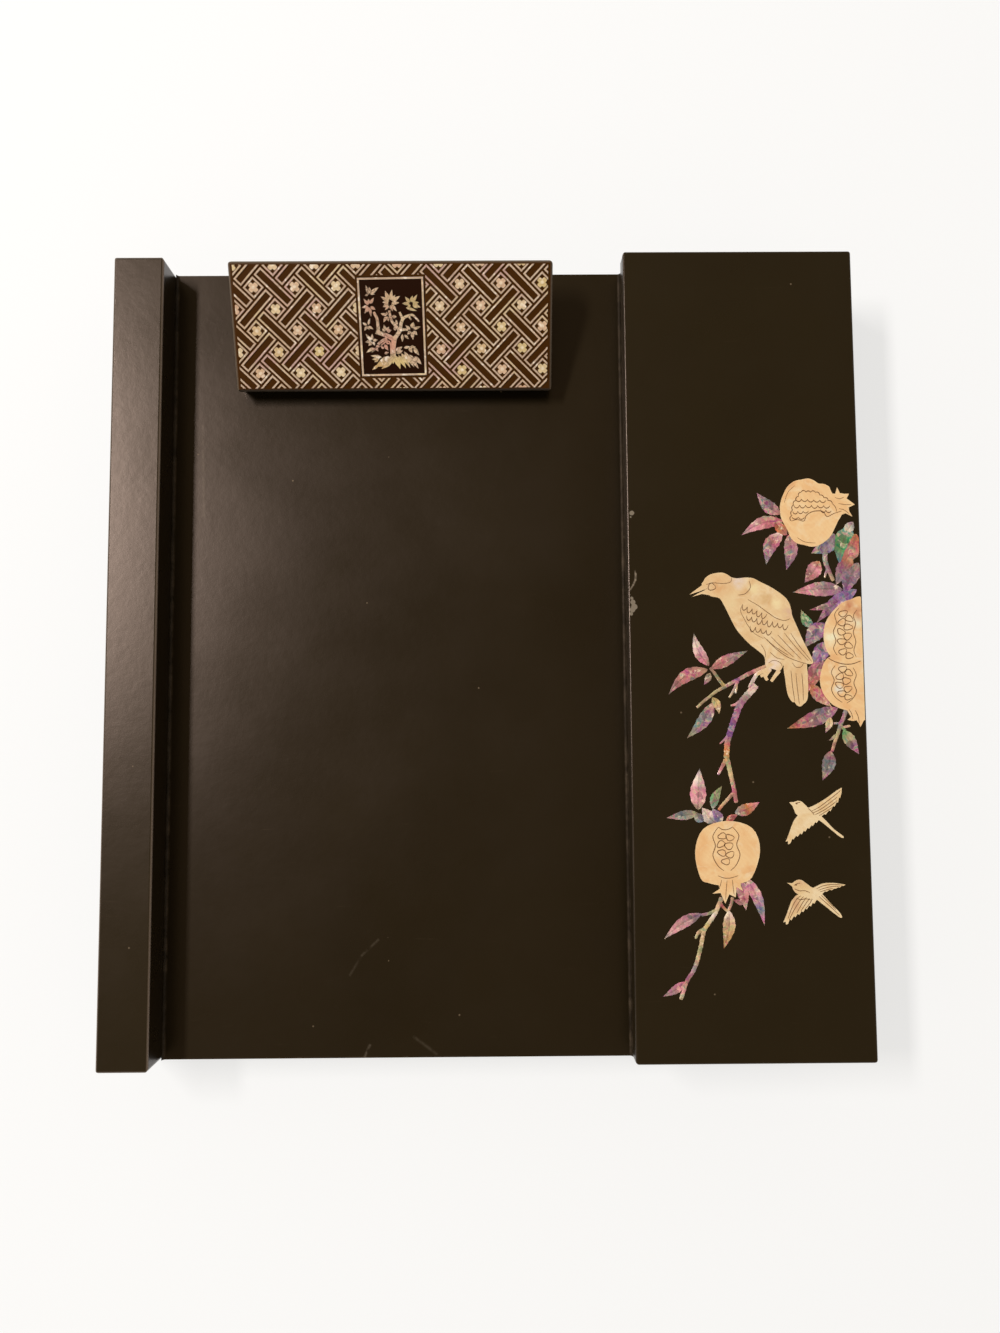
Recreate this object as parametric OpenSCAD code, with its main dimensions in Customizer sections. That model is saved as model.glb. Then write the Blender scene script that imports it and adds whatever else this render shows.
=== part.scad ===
// Lacquered writing board: sunk writing panel with a sprung paper clip, left rail and lidded pen box.
// Millimetres. +X to the right, +Y away from the writer, +Z up.
// Origin: middle of the footprint, on the table.

/* [Body] */
// Width over rail, writing panel and pen box
body_w = 205.1; // [170:0.1:240]
// Depth, front to back
body_d = 220.8; // [190:0.1:260]
// Width of the left rail
rail_w = 13.8; // [8:0.1:24]
// Width of the pen box
box_w = 62.9; // [44:0.1:80]
// Depth of the writing panel below rail and lid
recess = 11.5; // [6:0.1:16]
// Thickness of the bottom board
bottom_t = 4; // [3:0.1:8]
// Thickness of the writing panel
panel_t = 6; // [5:0.1:10]
// Height of the battens that carry the panel
batten_h = 6.5; // [4:0.1:16]
// Width of the battens and of both fascias
batten_w = 8; // [5:0.1:16]
// Radius of the rail's rounded top edges
rail_ease_r = 0.7; // [0.4:0.1:3]
// Radius of the lid's rounded top edges
ease_r = 0.5; // [0.4:0.1:2]
// Radius of the lacquer fillet along the panel's sides
cove_r = 0.8; // [0.4:0.1:3]
// Thickness of the fillet's upper edge
cove_edge = 0.15; // [0.1:0.05:0.5]
// Radius of the corners of rail, lid and clip plate in plan
corner_r = 1.2; // [0.4:0.1:3]

/* [Base felt] */
// Thickness of the felt under the bottom board
felt_t = 1.5; // [0.8:0.1:4]
// Distance from the body's edges to the felt
felt_inset = 4; // [1:0.5:30]
// Radius of the felt's corners
felt_corner_r = 3; // [1:0.5:12]

/* [Pen box] */
// Thickness of the pen box walls
wall_t = 7; // [6.6:0.1:10]
// Thickness of the lid
lid_t = 5; // [4.6:0.1:8]
// How far the lid sits back from flush
lid_set_back = 1.0; // [0:0.1:2]
// How far the lid hangs over the pen box's inner wall
lid_lip = 0.8; // [0:0.1:1.5]
// Thickness of the felt on the pen box floor
lining_t = 1; // [0.5:0.1:3]
// Gap between the felt and the walls
lining_gap = 0.2; // [0.1:0.1:1]
// Length of the finger nick in the inner wall
nick_l = 24; // [10:1:40]
// Depth of the finger nick into the wall
nick_depth = 1.6; // [0.8:0.1:3]

/* [Lid hinges] */
// Distance of the hinge line inside the outer face
hinge_inset = 1.6; // [1.5:0.1:2.5]
// Distance of each hinge from the middle of the lid
hinge_y = 72; // [40:1:90]
// Length of a hinge
hinge_l = 22; // [16:1:40]
// Radius of a knuckle
knuckle_r = 1.4; // [1.2:0.05:1.5]
// Radius of a hinge pin
hinge_pin_r = 0.6; // [0.4:0.05:0.8]
// Width of a leaf from the hinge line
leaf_w = 5; // [4:0.1:5.2]
// Thickness of a leaf
leaf_t = 0.7; // [0.5:0.05:1]
// Angle at which the two chamfers meet and stop the lid
lid_stop = 98; // [92:1:110]
// Screw head radius on a leaf
hinge_head_r = 1.25; // [1:0.05:1.4]
// Screw shank radius on a leaf
hinge_shank_r = 0.65; // [0.5:0.05:0.8]
// Screw length below a leaf
hinge_screw_l = 3; // [2.4:0.1:3.4]
// Distance between the two screws of a leaf
hinge_screw_gap = 13; // [8:0.5:16]

/* [Clip] */
// Width of the clip plate
clip_w = 88.3; // [50:0.1:110]
// Length of the clip plate along its slope
clip_l = 34.2; // [24:0.1:45]
// Thickness of the clip plate
clip_t = 6.5; // [4:0.1:9]
// Slope of the clip plate at rest
clip_tilt = 21.6; // [10:0.1:25]
// Distance of the clip to the left of the panel's middle
clip_shift = 0.6; // [0:0.1:6]
// Distance from the panel's back edge to the clip pin
pin_back = 16; // [14:0.1:30]
// Height of the clip pin above the panel
pin_h = 3.8; // [3.1:0.1:6]
// Distance along the slope from the plate's front edge to the pin
pin_from_front = 18.4; // [12:0.1:24]
// Distance from the pin to the plate's underside
pin_drop = 3.2; // [3.1:0.1:5]
// Radius of the plate's upper edges
clip_ease_r = 0.9; // [0.4:0.1:2]
// Radius of the plate's lower edges
clip_under_r = 0.5; // [0.2:0.1:1]
// How far the clip opens before its lip meets the base
clip_stop = 30; // [20:1:35]

/* [Clip ironwork] */
// Radius of the clip pin
clip_pin_r = 1.0; // [0.8:0.05:1.2]
// Radius of the pin's riveted ends
rivet_r = 1.6; // [1.3:0.1:2]
// Length of each riveted end
rivet_l = 0.8; // [0.5:0.1:1.5]
// Sheet thickness of the clip base
base_t = 1; // [0.8:0.1:1.2]
// Width of the clip base
base_w = 38; // [34.4:0.2:60]
// Length of the clip base ahead of the pin
base_front = 9; // [8:0.1:14]
// Length of the clip base behind the pin
base_rear = 11; // [10:0.1:14]
// Sheet thickness of the bracket under the plate
bracket_t = 0.8; // [0.6:0.1:1]
// Length of the bracket ahead of the pin
bracket_front = 7; // [6:0.1:12]
// Length of the bracket behind the pin
bracket_rear = 9; // [8:0.1:11]
// Thickness of every ear
ear_t = 1; // [0.8:0.1:1.5]
// Radius of every ear round the pin
ear_r = 2; // [1.8:0.1:2.2]
// Distance from the middle to the base's ears
ear_x = 14.8; // [12:0.1:24]
// Gap between neighbouring ears
ear_gap = 0.2; // [0.1:0.05:0.5]
// Width of the stop lip
lip_w = 12; // [8:1:16]
// Radius of the spring coil, to the middle of the wire
coil_r = 1.55; // [1.5:0.05:1.7]
// Radius of the spring wire
wire_r = 0.34; // [0.25:0.01:0.36]
// Width of the spring coil
coil_l = 6.8; // [6.6:0.1:9]
// Turns of the spring coil
coil_turns = 6; // [4:1:8]
// Length of the spring's legs
leg_l = 7; // [5:0.1:7.5]
// Head radius of the clip's screws
clip_head_r = 1.7; // [1.3:0.1:2]
// Head height of the clip's screws
clip_head_h = 0.9; // [0.6:0.1:1]
// Shank radius of the clip's screws
clip_shank_r = 0.9; // [0.7:0.1:1.1]
// Length of the clip's screws in the wood
clip_screw_l = 4; // [3:0.1:4.6]
// Distance of the clip's screws from the middle
clip_screw_x = 10; // [9:0.1:12]
// Distance of the clip's front screws ahead of the pin
clip_screw_front = 5.4; // [5:0.1:6.5]
// Distance of the clip's rear screws behind the pin
clip_screw_rear = 5.4; // [5:0.1:6.5]

/* [Shell inlay] */
// Height of the shell above the lacquer
shell_t = 0.25; // [0.15:0.05:0.5]
// Gap left between neighbouring shells
shell_gap = 0.2; // [0.1:0.05:0.5]
// Lattice pitch from flower square to flower square
lattice_p = 11.25; // [8:0.05:16]
// Width of a woven bar
bar_w = 2.65; // [1.5:0.05:4]
// Dark gap beside a woven bar
bar_gap = 0.62; // [0.3:0.02:1.2]
// Width of a shell line
line_w = 0.46; // [0.3:0.02:0.8]
// Plain border at the lattice's sides
border_x = 1.3; // [0.9:0.05:4]
// Plain border in front of and behind the lattice
border_y = 0.95; // [0.9:0.05:4]
// Width of the picture tile
tile_w = 18.0; // [12:0.1:30]
// Height of the picture tile
tile_h = 25.7; // [16:0.1:30]
// Width of the tile's frame line
tile_line = 0.5; // [0.4:0.05:1.5]
// Reach of a flower's petals in its square
flower_r = 1.42; // [1.1:0.02:1.6]
// Width of a flower's petals
petal_w = 1.25; // [0.8:0.05:1.8]
// Turn of the lattice and the picture tile on the plate
lattice_turn = 0.75; // [0:0.05:2]

/* [Fits] */
// Clearance round a turning pin
run_gap = 0.05; // [0.02:0.01:0.1]
// Clearance round a screw or a fixed pin
fix_gap = 0.03; // [0.01:0.01:0.08]
// Clearance round hinge leaves and knuckles in the wood
seat_gap = 0.25; // [0.1:0.05:0.4]
// Clearance between knuckles
knuckle_gap = 0.2; // [0.1:0.05:0.4]
// Clearance between facing leaves
leaf_gap = 0.05; // [0.02:0.01:0.2]

/* [Hidden] */
$fn = 48;
cut = 0.5;
petal_facets = 8;
bottom_z = felt_t;
floor_z = bottom_z + bottom_t;
panel_z = floor_z + batten_h;
paper_z = panel_z + panel_t;
top_z = paper_z + recess;
seam_z = top_z - lid_t;
panel_l = -body_w / 2 + rail_w;
panel_r = body_w / 2 - box_w;
panel_w = panel_r - panel_l;
panel_x = (panel_l + panel_r) / 2;
lid_w = box_w + lid_lip;
lid_x = body_w / 2 - lid_w / 2;
hinge_x = body_w / 2 - hinge_inset;
leaf_reach = knuckle_r + knuckle_gap;
leaf_screw_x = (leaf_w + leaf_reach) / 2;
pin_y = body_d / 2 - pin_back;
pin_z = paper_z + pin_h;
plate_mid = clip_l / 2 - pin_from_front;
plate_top = pin_drop + clip_t;
lip_slope = clip_tilt - clip_stop;
lip_end = (bracket_rear * sin(lip_slope) + pin_h - base_t) / cos(lip_slope);
pin_l = 2 * (ear_x + 2 * ear_t + 2 * ear_gap);
bar_step = lattice_p / sqrt(2);
bar_l = 2 * bar_step - bar_w - 2 * bar_gap;
square_w = bar_step - bar_w - 2 * bar_gap;
lattice_x = -3.6;
lattice_y = -0.4;
lattice_n = ceil(clip_w / lattice_p / 2);
lattice_m = ceil(clip_l / lattice_p / 2);
lacquer = [0.13, 0.1, 0.07];
shell = [0.88, 0.76, 0.58];
pearl = [0.62, 0.46, 0.56];
iron = [0.6, 0.6, 0.6];
brass = [0.75, 0.6, 0.3];
felt = [0.2, 0.12, 0.1];

// Curves for the inlay
function spline(a, b, c, d, t) =
    (2 * b + (c - a) * t + (2 * a - 5 * b + 4 * c - d) * t * t + (3 * b - a - 3 * c + d) * t * t * t) / 2;
function closed_curve(p, n) = let (m = len(p))
    [for (i = [0 : m - 1], k = [0 : n - 1])
        spline(p[(i + m - 1) % m], p[i], p[(i + 1) % m], p[(i + 2) % m], k / n)];
function open_curve(p, n) = let (m = len(p) - 1)
    concat([for (i = [0 : m - 1], k = [0 : n - 1])
        spline(p[max(i - 1, 0)], p[i], p[i + 1], p[min(i + 2, m)], k / n)], [p[m]]);
function across(c, i) = let (d = c[min(i + 1, len(c) - 1)] - c[max(i - 1, 0)]) [-d.y, d.x] / norm(d);
function band(c, half) =
    concat([for (i = [0 : len(c) - 1]) c[i] + across(c, i) * half[i]],
        [for (i = [len(c) - 1 : -1 : 0]) c[i] - across(c, i) * half[i]]);
function twig(p, w0, w1) = let (c = open_curve(p, 5), m = len(c) - 1)
    band(c, [for (i = [0 : m]) (w0 + (w1 - w0) * i / m) / 2]);
function leaf(a, b, w, bend, n = 10) = let (q = [a.y - b.y, b.x - a.x] / norm(b - a),
        c = [for (i = [0 : n]) a + (b - a) * i / n + q * bend * sin(180 * i / n)])
    band(c, [for (i = [0 : n]) max(0.02, w / 2 * sin(180 * pow(i / n, 0.8)) * (1.12 - 0.3 * i / n))]);

// Lid inlay, laid out in plan from the middle of the lid's outer edge
FRUITS = [[[-21.8, 37.6], [-21.5, 39.4], [-20.7, 41.5], [-19.4, 43.7], [-17.6, 45], [-15.8, 45.4],
    [-13.8, 45.7], [-12.2, 45.1], [-11.1, 44.3], [-9.8, 44.2], [-8.3, 43.5], [-7.7, 42.2], [-7, 40.9],
    [-5.1, 38.9], [-5, 35.7], [-6, 33.9], [-6.9, 32.1], [-8.2, 29.7], [-9.9, 28.1], [-11.7, 27.1],
    [-13.5, 26.8], [-15.6, 27.3], [-17.5, 27.8], [-19, 29.2], [-19.8, 31.2], [-20.8, 33.2], [-21.6, 35]],
    [[-10.9, 3.4], [-10.2, 6.2], [-8.3, 9], [-5.9, 11.2], [-3.5, 12.2], [-0.1, 12.6], [1.3, 4.8],
    [0.3, -4.3], [-4.1, -5.9], [-7.5, -4.7], [-9.9, -2.3], [-10.8, 0.5]], [[-10.5, -4.1], [-11.8, -6.9],
    [-12.3, -9.5], [-11.9, -12.3], [-10.7, -14.5], [-8.9, -16.4], [-6.5, -17.5], [-3.9, -18],
    [0.1, -17.4], [1.3, -9.1], [0.3, -3.1], [-4.3, -2.7], [-8.1, -2.9]], [[-47, -55.3], [-45.7, -62.1],
    [-43.5, -63.4], [-40.8, -64], [-37.9, -64], [-35.2, -63.6], [-32, -61.9], [-29.7, -54.9],
    [-31.7, -49], [-38.3, -47.1], [-44.7, -49.2]]];
CROWNS = [[[-7.5, 41.5], [-6.5, 41.4], [-6, 43.2], [-5.3, 41.6], [-4.2, 41.4], [-2.8, 41.4], [-3.5, 40.1],
    [-1.3, 38.4], [-3, 37.6], [-2.9, 36.6], [-2.1, 35.1], [-3.9, 36], [-5.2, 35.5], [-6.7, 38.2]],
    [[-5.7, -16.9], [-4.8, -18.6], [-4.2, -19.6], [-5.2, -20.4], [-3.8, -20.7], [-2.8, -20.5],
    [-2.2, -21.3], [-1.8, -22.3], [-1.2, -21.2], [-0.8, -20.5], [0.4, -20.6], [0.4, -16.7]],
    [[-41.3, -61.7], [-41.1, -63.6], [-40.6, -64.9], [-42.6, -66.2], [-40.5, -66], [-39.3, -68.8],
    [-38.2, -66.4], [-36.5, -67.2], [-36.2, -64.5], [-34.5, -65.6], [-35.1, -64.2], [-35.1, -62.4]]];
BIRD = [[-43.6, 16.4], [-43.2, 17.4], [-42.5, 18.5], [-41, 19.4], [-38.5, 19.8], [-36.9, 19.4],
    [-35.6, 18.5], [-33.9, 18.2], [-31.8, 18.4], [-29.7, 18.2], [-27.6, 17.1], [-25.2, 15.9],
    [-22.9, 14.4], [-21, 12.8], [-20, 11.2], [-19.5, 9.3], [-19.3, 7.8], [-18, 4.6], [-16.7, 1.4],
    [-15.2, -1.7], [-14, -4.6], [-14.8, -5.3], [-16.9, -4.8], [-19, -4.2], [-20.8, -3.7], [-21.8, -4.9],
    [-23, -7], [-24.7, -6.6], [-26.8, -5.9], [-27.1, -3.3], [-28.8, -1.6], [-30.9, 0.1], [-32.9, 2.2],
    [-34.6, 4.4], [-36, 7.2], [-37.5, 10.4], [-38.6, 12.4], [-39.5, 13], [-41.7, 13.6]];
BEAK = [[[-47.1, 13.8], [-45.4, 15.1], [-43.7, 16.3], [-42.1, 16.5], [-42, 15.6], [-44.3, 14.7]],
    [[-46.4, 13.2], [-44.6, 14.2], [-42.9, 15], [-41.6, 14.9], [-41.5, 13.6], [-43.6, 14]]];
BIRD_TAIL = [[-21.4, -2.9], [-22, -6.3], [-21.7, -9.1], [-21.4, -11.9], [-20.9, -14], [-20, -15.4],
    [-19.3, -15.6], [-18.7, -16.4], [-17.8, -16.7], [-17, -16.1], [-16.3, -15.5], [-15.8, -14.4],
    [-15.6, -12], [-15.6, -9.1], [-15.7, -6.3], [-16.3, -3.4]];
BIRD_FEET = [[[-25.8, -6.3], [-27.5, -7.1], [-29.2, -8]], [[-25.8, -6.6], [-27, -8.4], [-26.5, -9.6]],
    [[-23.3, -7], [-24.4, -8.4], [-25.5, -9.9]], [[-25.8, -6.4], [-26.8, -7.7], [-28.3, -8.5]]];
TWIGS = [[[[-26.7, -5.9], [-29.1, -6.8], [-31.5, -7.8], [-33.9, -9.1], [-36.3, -10.3], [-38.3, -11.4],
    [-40.4, -12.5], [-42.2, -13.9], [-44, -15.3], [-45.7, -16.8]], 1.15, 0.64], [[[-38.2, -11.2],
    [-39.7, -9.1], [-40.8, -7.5], [-41.9, -6.1]], 0.94, 0.68], [[[-29.6, -10.8], [-31.4, -12.9],
    [-33.3, -15], [-34.5, -17], [-35.2, -18.9], [-35.9, -20.6], [-36.5, -22.4], [-37.2, -24.4],
    [-37.7, -26.2], [-37.9, -28.3], [-38.1, -30.4]], 1.87, 1.36], [[[-38, -30.3], [-37.5, -32.3],
    [-37, -34.9], [-36.3, -38.3], [-35.7, -42.3]], 1.27, 0.98], [[[-34.4, -9.4], [-35.3, -11.6],
    [-36.9, -14.2]], 0.85, 0.51], [[[-34.2, -15.4], [-35.2, -16], [-36.6, -16.4]], 1.02, 0.42],
    [[[-37.5, -24.6], [-38.6, -25.6], [-39.7, -26.6]], 0.77, 0.34], [[[-38.2, -30.8], [-39.2, -32.6],
    [-40.4, -34.8]], 1.19, 0.59], [[[-36.5, -39.8], [-38, -41.4], [-39.6, -43.1], [-40.5, -44.2]],
    0.94, 0.68], [[[-40.2, -67.2], [-41.1, -69.4], [-42.3, -71.8], [-43.8, -73.9], [-45, -75.7],
    [-45.5, -77.6], [-46, -79.9], [-46.5, -81.8], [-47.2, -84.1], [-48.2, -86.4], [-49.4, -88.1],
    [-50.2, -89.6], [-50.8, -91.5], [-51.6, -93.6]], 1.1, 0.94], [[[-45.1, -75.6], [-46.5, -76.3],
    [-47.4, -77.9]], 1.19, 0.51], [[[-41.2, -70.3], [-42.7, -71], [-44.2, -71.5], [-45.7, -71.8]],
    0.85, 0.68], [[[-37.3, -67.2], [-37.7, -68.9], [-38.5, -70.7]], 0.85, 0.59], [[[-5.5, -17.7],
    [-6.2, -19.7], [-7.1, -21.6], [-7.8, -23.8], [-8.6, -25.8], [-9.6, -28.8]], 1.1, 0.77],
    [[[-7.1, -21.8], [-6.4, -22.6], [-5.9, -23.4]], 0.77, 0.59], [[[-34.8, -10.5], [-34.9, -11.8],
    [-35.2, -13.1]], 0.68, 0.42], [[[-40.7, -68.4], [-39.8, -69.8], [-38.7, -70.8]], 0.77, 0.59],
    [[[-6.9, -21.2], [-7.9, -21.3], [-8.9, -21.3]], 0.68, 0.51], [[[-6.9, -22.6], [-5.7, -22.2],
    [-4.5, -22]], 0.77, 0.51], [[[-27.7, -6.6], [-29.4, -8.1], [-30.7, -10.2], [-31.4, -11.6]], 1.1,
    0.85], [[[-9.4, 27.4], [-9.9, 23.5], [-9.1, 20.6], [-7.8, 17.4]], 1.44, 0.85], [[[-9.2, 20.8],
    [-9.8, 19.5], [-10.1, 18.3]], 0.77, 0.42]];
LEAVES = [[-21.8, 35.8, -28, 41.8, 3.5, 0.6], [-21, 34, -32.5, 30.1, 3.5, -1.3], [-21.4, 30.9, -25.9, 22,
    3.9, -1.3], [-19.4, 30.3, -20.5, 20.5, 3.7, 0.8], [-20.1, 30.1, -24, 34.4, 2.8, 0], [-7, 30.3, -13.6,
    25, 4.8, 0.8], [-11.4, 22.8, -15.6, 17, 4, 0.2], [-2.8, 32.4, -6, 22, 5.4, -0.6], [-1.9, 33.6, -4.8,
    29.5, 2.6, 0], [-1.1, 30.3, -5.7, 21.1, 5.2, 0.5], [-2.5, 23.5, -7.1, 16.2, 4.2, -0.4], [-5.3, 15,
    -18.9, 14.3, 4, -0.5], [-0.7, 22.3, -4.9, 13.4, 4.6, -0.6], [-1.5, 15, -12.6, 6, 3.8, -0.8], [-6.9,
    11.6, -14.5, 9.5, 1.7, 0.3], [-13.8, 4.6, -16.8, 9.5, 2.6, 0.5], [-10.3, 5.8, -16, -0.7, 4.6, -0.5],
    [-10.5, 0.7, -14.5, -5.9, 4.2, 0.4], [-11.4, -4.1, -15.5, -12.7, 4.2, -0.4], [-15, -10.7, -9.3, -16.9,
    3.2, -0.4], [-7.7, -17.2, -21.5, -22.6, 4.2, 0.3], [-9.9, -19.4, -11.2, -23.8, 2, 0.3], [-6.4, -23.2,
    -2.4, -29.6, 3.2, 0], [-9.9, -28.7, -12.4, -36.5, 3.6, 0.4], [-7.9, -24, -10.4, -25.9, 1, 0.2],
    [-42.2, -5.6, -46.1, 3.3, 3, 0.85], [-41.6, -6.3, -31.7, -1.6, 3, 0.15], [-42.5, -6.5, -53.2, -13.2,
    3.5, -1.6], [-41.9, -7.5, -43.6, -10.7, 1.7, 0.15], [-41.1, -15.5, -48.5, -25, 3.5, 0.75], [-41.4,
    -14.1, -39.7, -18.6, 2.1, 0.4], [-45.9, -44.2, -45.3, -33.2, 4.3, 0.2], [-42.1, -43.9, -39.4, -37.8,
    2.4, 0.5], [-46, -45, -54.4, -46.2, 2.5, 0], [-36.1, -45.1, -29.5, -42.2, 3.1, -0.3], [-44.5, -47.2,
    -47.3, -44.6, 2.4, 0.2], [-41.5, -47.6, -44.9, -43.5, 3.4, 0.2], [-39.7, -47.5, -42.1, -43.7, 3, 0.2],
    [-38.5, -47.2, -35.3, -45.4, 1.7, 0.1], [-33.8, -61.7, -29, -74.6, 2.9, 0.9], [-35.4, -62.4, -33.8,
    -70.6, 3.2, 0.2], [-34.3, -68.9, -37.1, -67.9, 1.4, 0], [-38.3, -70.6, -39.9, -80.5, 3.3, 0.6],
    [-45.7, -71.4, -55.6, -77.9, 3, -0.7], [-50.3, -89.1, -56.2, -92.8, 2.2, 0.3]];
FLYER_BODIES = [[[-21.5, -42.3], [-20.3, -42.2], [-19.3, -41.9], [-18.3, -42.1], [-17.5, -42.8],
    [-16.5, -43.8], [-15.3, -44.5], [-13.9, -45.4], [-12.4, -46.7], [-11.1, -48.1], [-9.8, -49.5],
    [-8.5, -50.5], [-7.3, -51.5], [-7.7, -51.8], [-8.7, -51.2], [-10, -50.1], [-11.3, -49],
    [-12.6, -47.9], [-13.9, -47], [-15.7, -46.5], [-17.4, -46.4], [-18.9, -46], [-19.9, -45.3],
    [-20.3, -44.3], [-20.7, -43.3], [-21.2, -42.7]], [[-22.7, -63.5], [-21.4, -63.6], [-20.5, -63],
    [-19.6, -62.7], [-18.7, -62.9], [-17.9, -63.5], [-17.1, -64.1], [-16.3, -64.7], [-15.3, -65.1],
    [-14.3, -65.8], [-13.5, -66.5], [-12.3, -67.8], [-11, -69.3], [-9.8, -70.5], [-8.9, -71.5],
    [-8.4, -72.5], [-8.9, -72.7], [-9.9, -72], [-11.2, -71], [-12.5, -69.9], [-13.8, -68.9],
    [-14.8, -68.1], [-16, -67.6], [-17.7, -67.2], [-19.3, -66.7], [-20.4, -66.2], [-21.1, -65.4],
    [-21.4, -64.5], [-22, -64]]];
FLYER_WINGS = [[[-16.8, -43.9], [-15, -43.2], [-13.5, -42.4], [-11.8, -41.4], [-10.1, -40.2],
    [-8.7, -39.2], [-7.4, -38.5], [-7.5, -39.8], [-7.9, -41.2], [-8.2, -41.1], [-8.5, -42.4],
    [-8.9, -42.4], [-9.5, -43.5], [-9.9, -43.4], [-10.6, -44.7], [-11, -44.5], [-11.9, -45.6],
    [-12.4, -45.5], [-13.4, -46.4], [-15.4, -46.4]], [[-18.1, -45.1], [-19.3, -45.7], [-20.4, -47.1],
    [-21.2, -48.8], [-21.8, -50.5], [-22.3, -51.7], [-22.8, -52.7], [-22.2, -52.5], [-22.1, -53.4],
    [-21.6, -53.1], [-21, -51.9], [-20.7, -52.1], [-20, -51.1], [-19.6, -51.4], [-18.9, -50.5],
    [-18.5, -50.8], [-17.9, -49.8], [-17.5, -50.1], [-16.9, -49.1], [-16.5, -49.3], [-15.8, -48.4],
    [-15.4, -48.6], [-14.8, -47.6], [-14.4, -47.8], [-13.7, -46.8], [-15.1, -45.9]], [[-16.1, -65],
    [-14.6, -64.3], [-13.5, -63.8], [-12.2, -63.6], [-10.5, -63.6], [-8.9, -63.8], [-7.2, -64.1],
    [-7.8, -64.4], [-8.3, -64.4], [-8.7, -64.8], [-9.3, -64.8], [-9.8, -65.1], [-10.3, -65.1],
    [-10.9, -65.5], [-11.5, -65.4], [-12.3, -65.9], [-12.8, -65.8], [-13.6, -66.6], [-14.7, -66.3]],
    [[-19.3, -66.3], [-20.5, -66.9], [-21.7, -68.3], [-22.4, -70], [-23, -71.6], [-23.5, -72.8],
    [-24, -73.8], [-23.4, -73.6], [-23.3, -74.4], [-22.8, -74.2], [-22.3, -73], [-21.9, -73.3],
    [-21.2, -72.2], [-20.8, -72.5], [-20.2, -71.6], [-19.8, -71.9], [-19.1, -70.9], [-18.7, -71.2],
    [-18.1, -70.2], [-17.7, -70.5], [-17.1, -69.5], [-16.6, -69.7], [-16.1, -68.8], [-15.7, -69],
    [-15, -68], [-16.4, -67.1]]];
FOOT_W = [1.2, 0.7];

// Picture tile, laid out from its middle
TREE_TWIGS = [[[[-0.1, -8.5], [-0.1, -5.9], [0.2, -4.1], [0.5, -2.8]], 1.53, 1.29],
    [[[0.3, -3.2], [-1.4, -2.3], [-3, -1.7], [-4.6, -1.2]], 1.29, 0.98],
    [[[-3.9, -1.2], [-3.9, 0.6], [-4.1, 2.3], [-4.9, 4]], 0.94, 0.67],
    [[[-1.6, -3], [-3, -3.6], [-4.2, -4.5]], 0.86, 0.63],
    [[[0.4, -3.1], [1.4, -1.9], [2.1, -0.8], [2.4, 0.6], [2.8, 1.7], [3.4, 2.4], [4.6, 2.9]], 1.1, 0.7],
    [[[4.4, 2.8], [5.6, 3.1], [6.6, 2.3], [7.4, 1.3]], 0.67, 0.47],
    [[[4.6, 2.8], [5.3, 1.8]], 0.51, 0.39], [[[2.9, 2.2], [2.2, 3.9]], 0.67, 0.55],
    [[[1.9, -0.9], [0.8, 0.5], [0, 1.5], [-0.4, 2.8], [-0.6, 4.4]], 0.82, 0.63],
    [[[2, -0.9], [3.2, -0.7], [4.3, -0.8]], 0.78, 0.51],
    [[[-3.4, -4.8], [-2.1, -3.9], [-1.1, -3.7], [-0.7, -4.6], [-0.7, -6.2]], 0.39, 0.31]];
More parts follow.
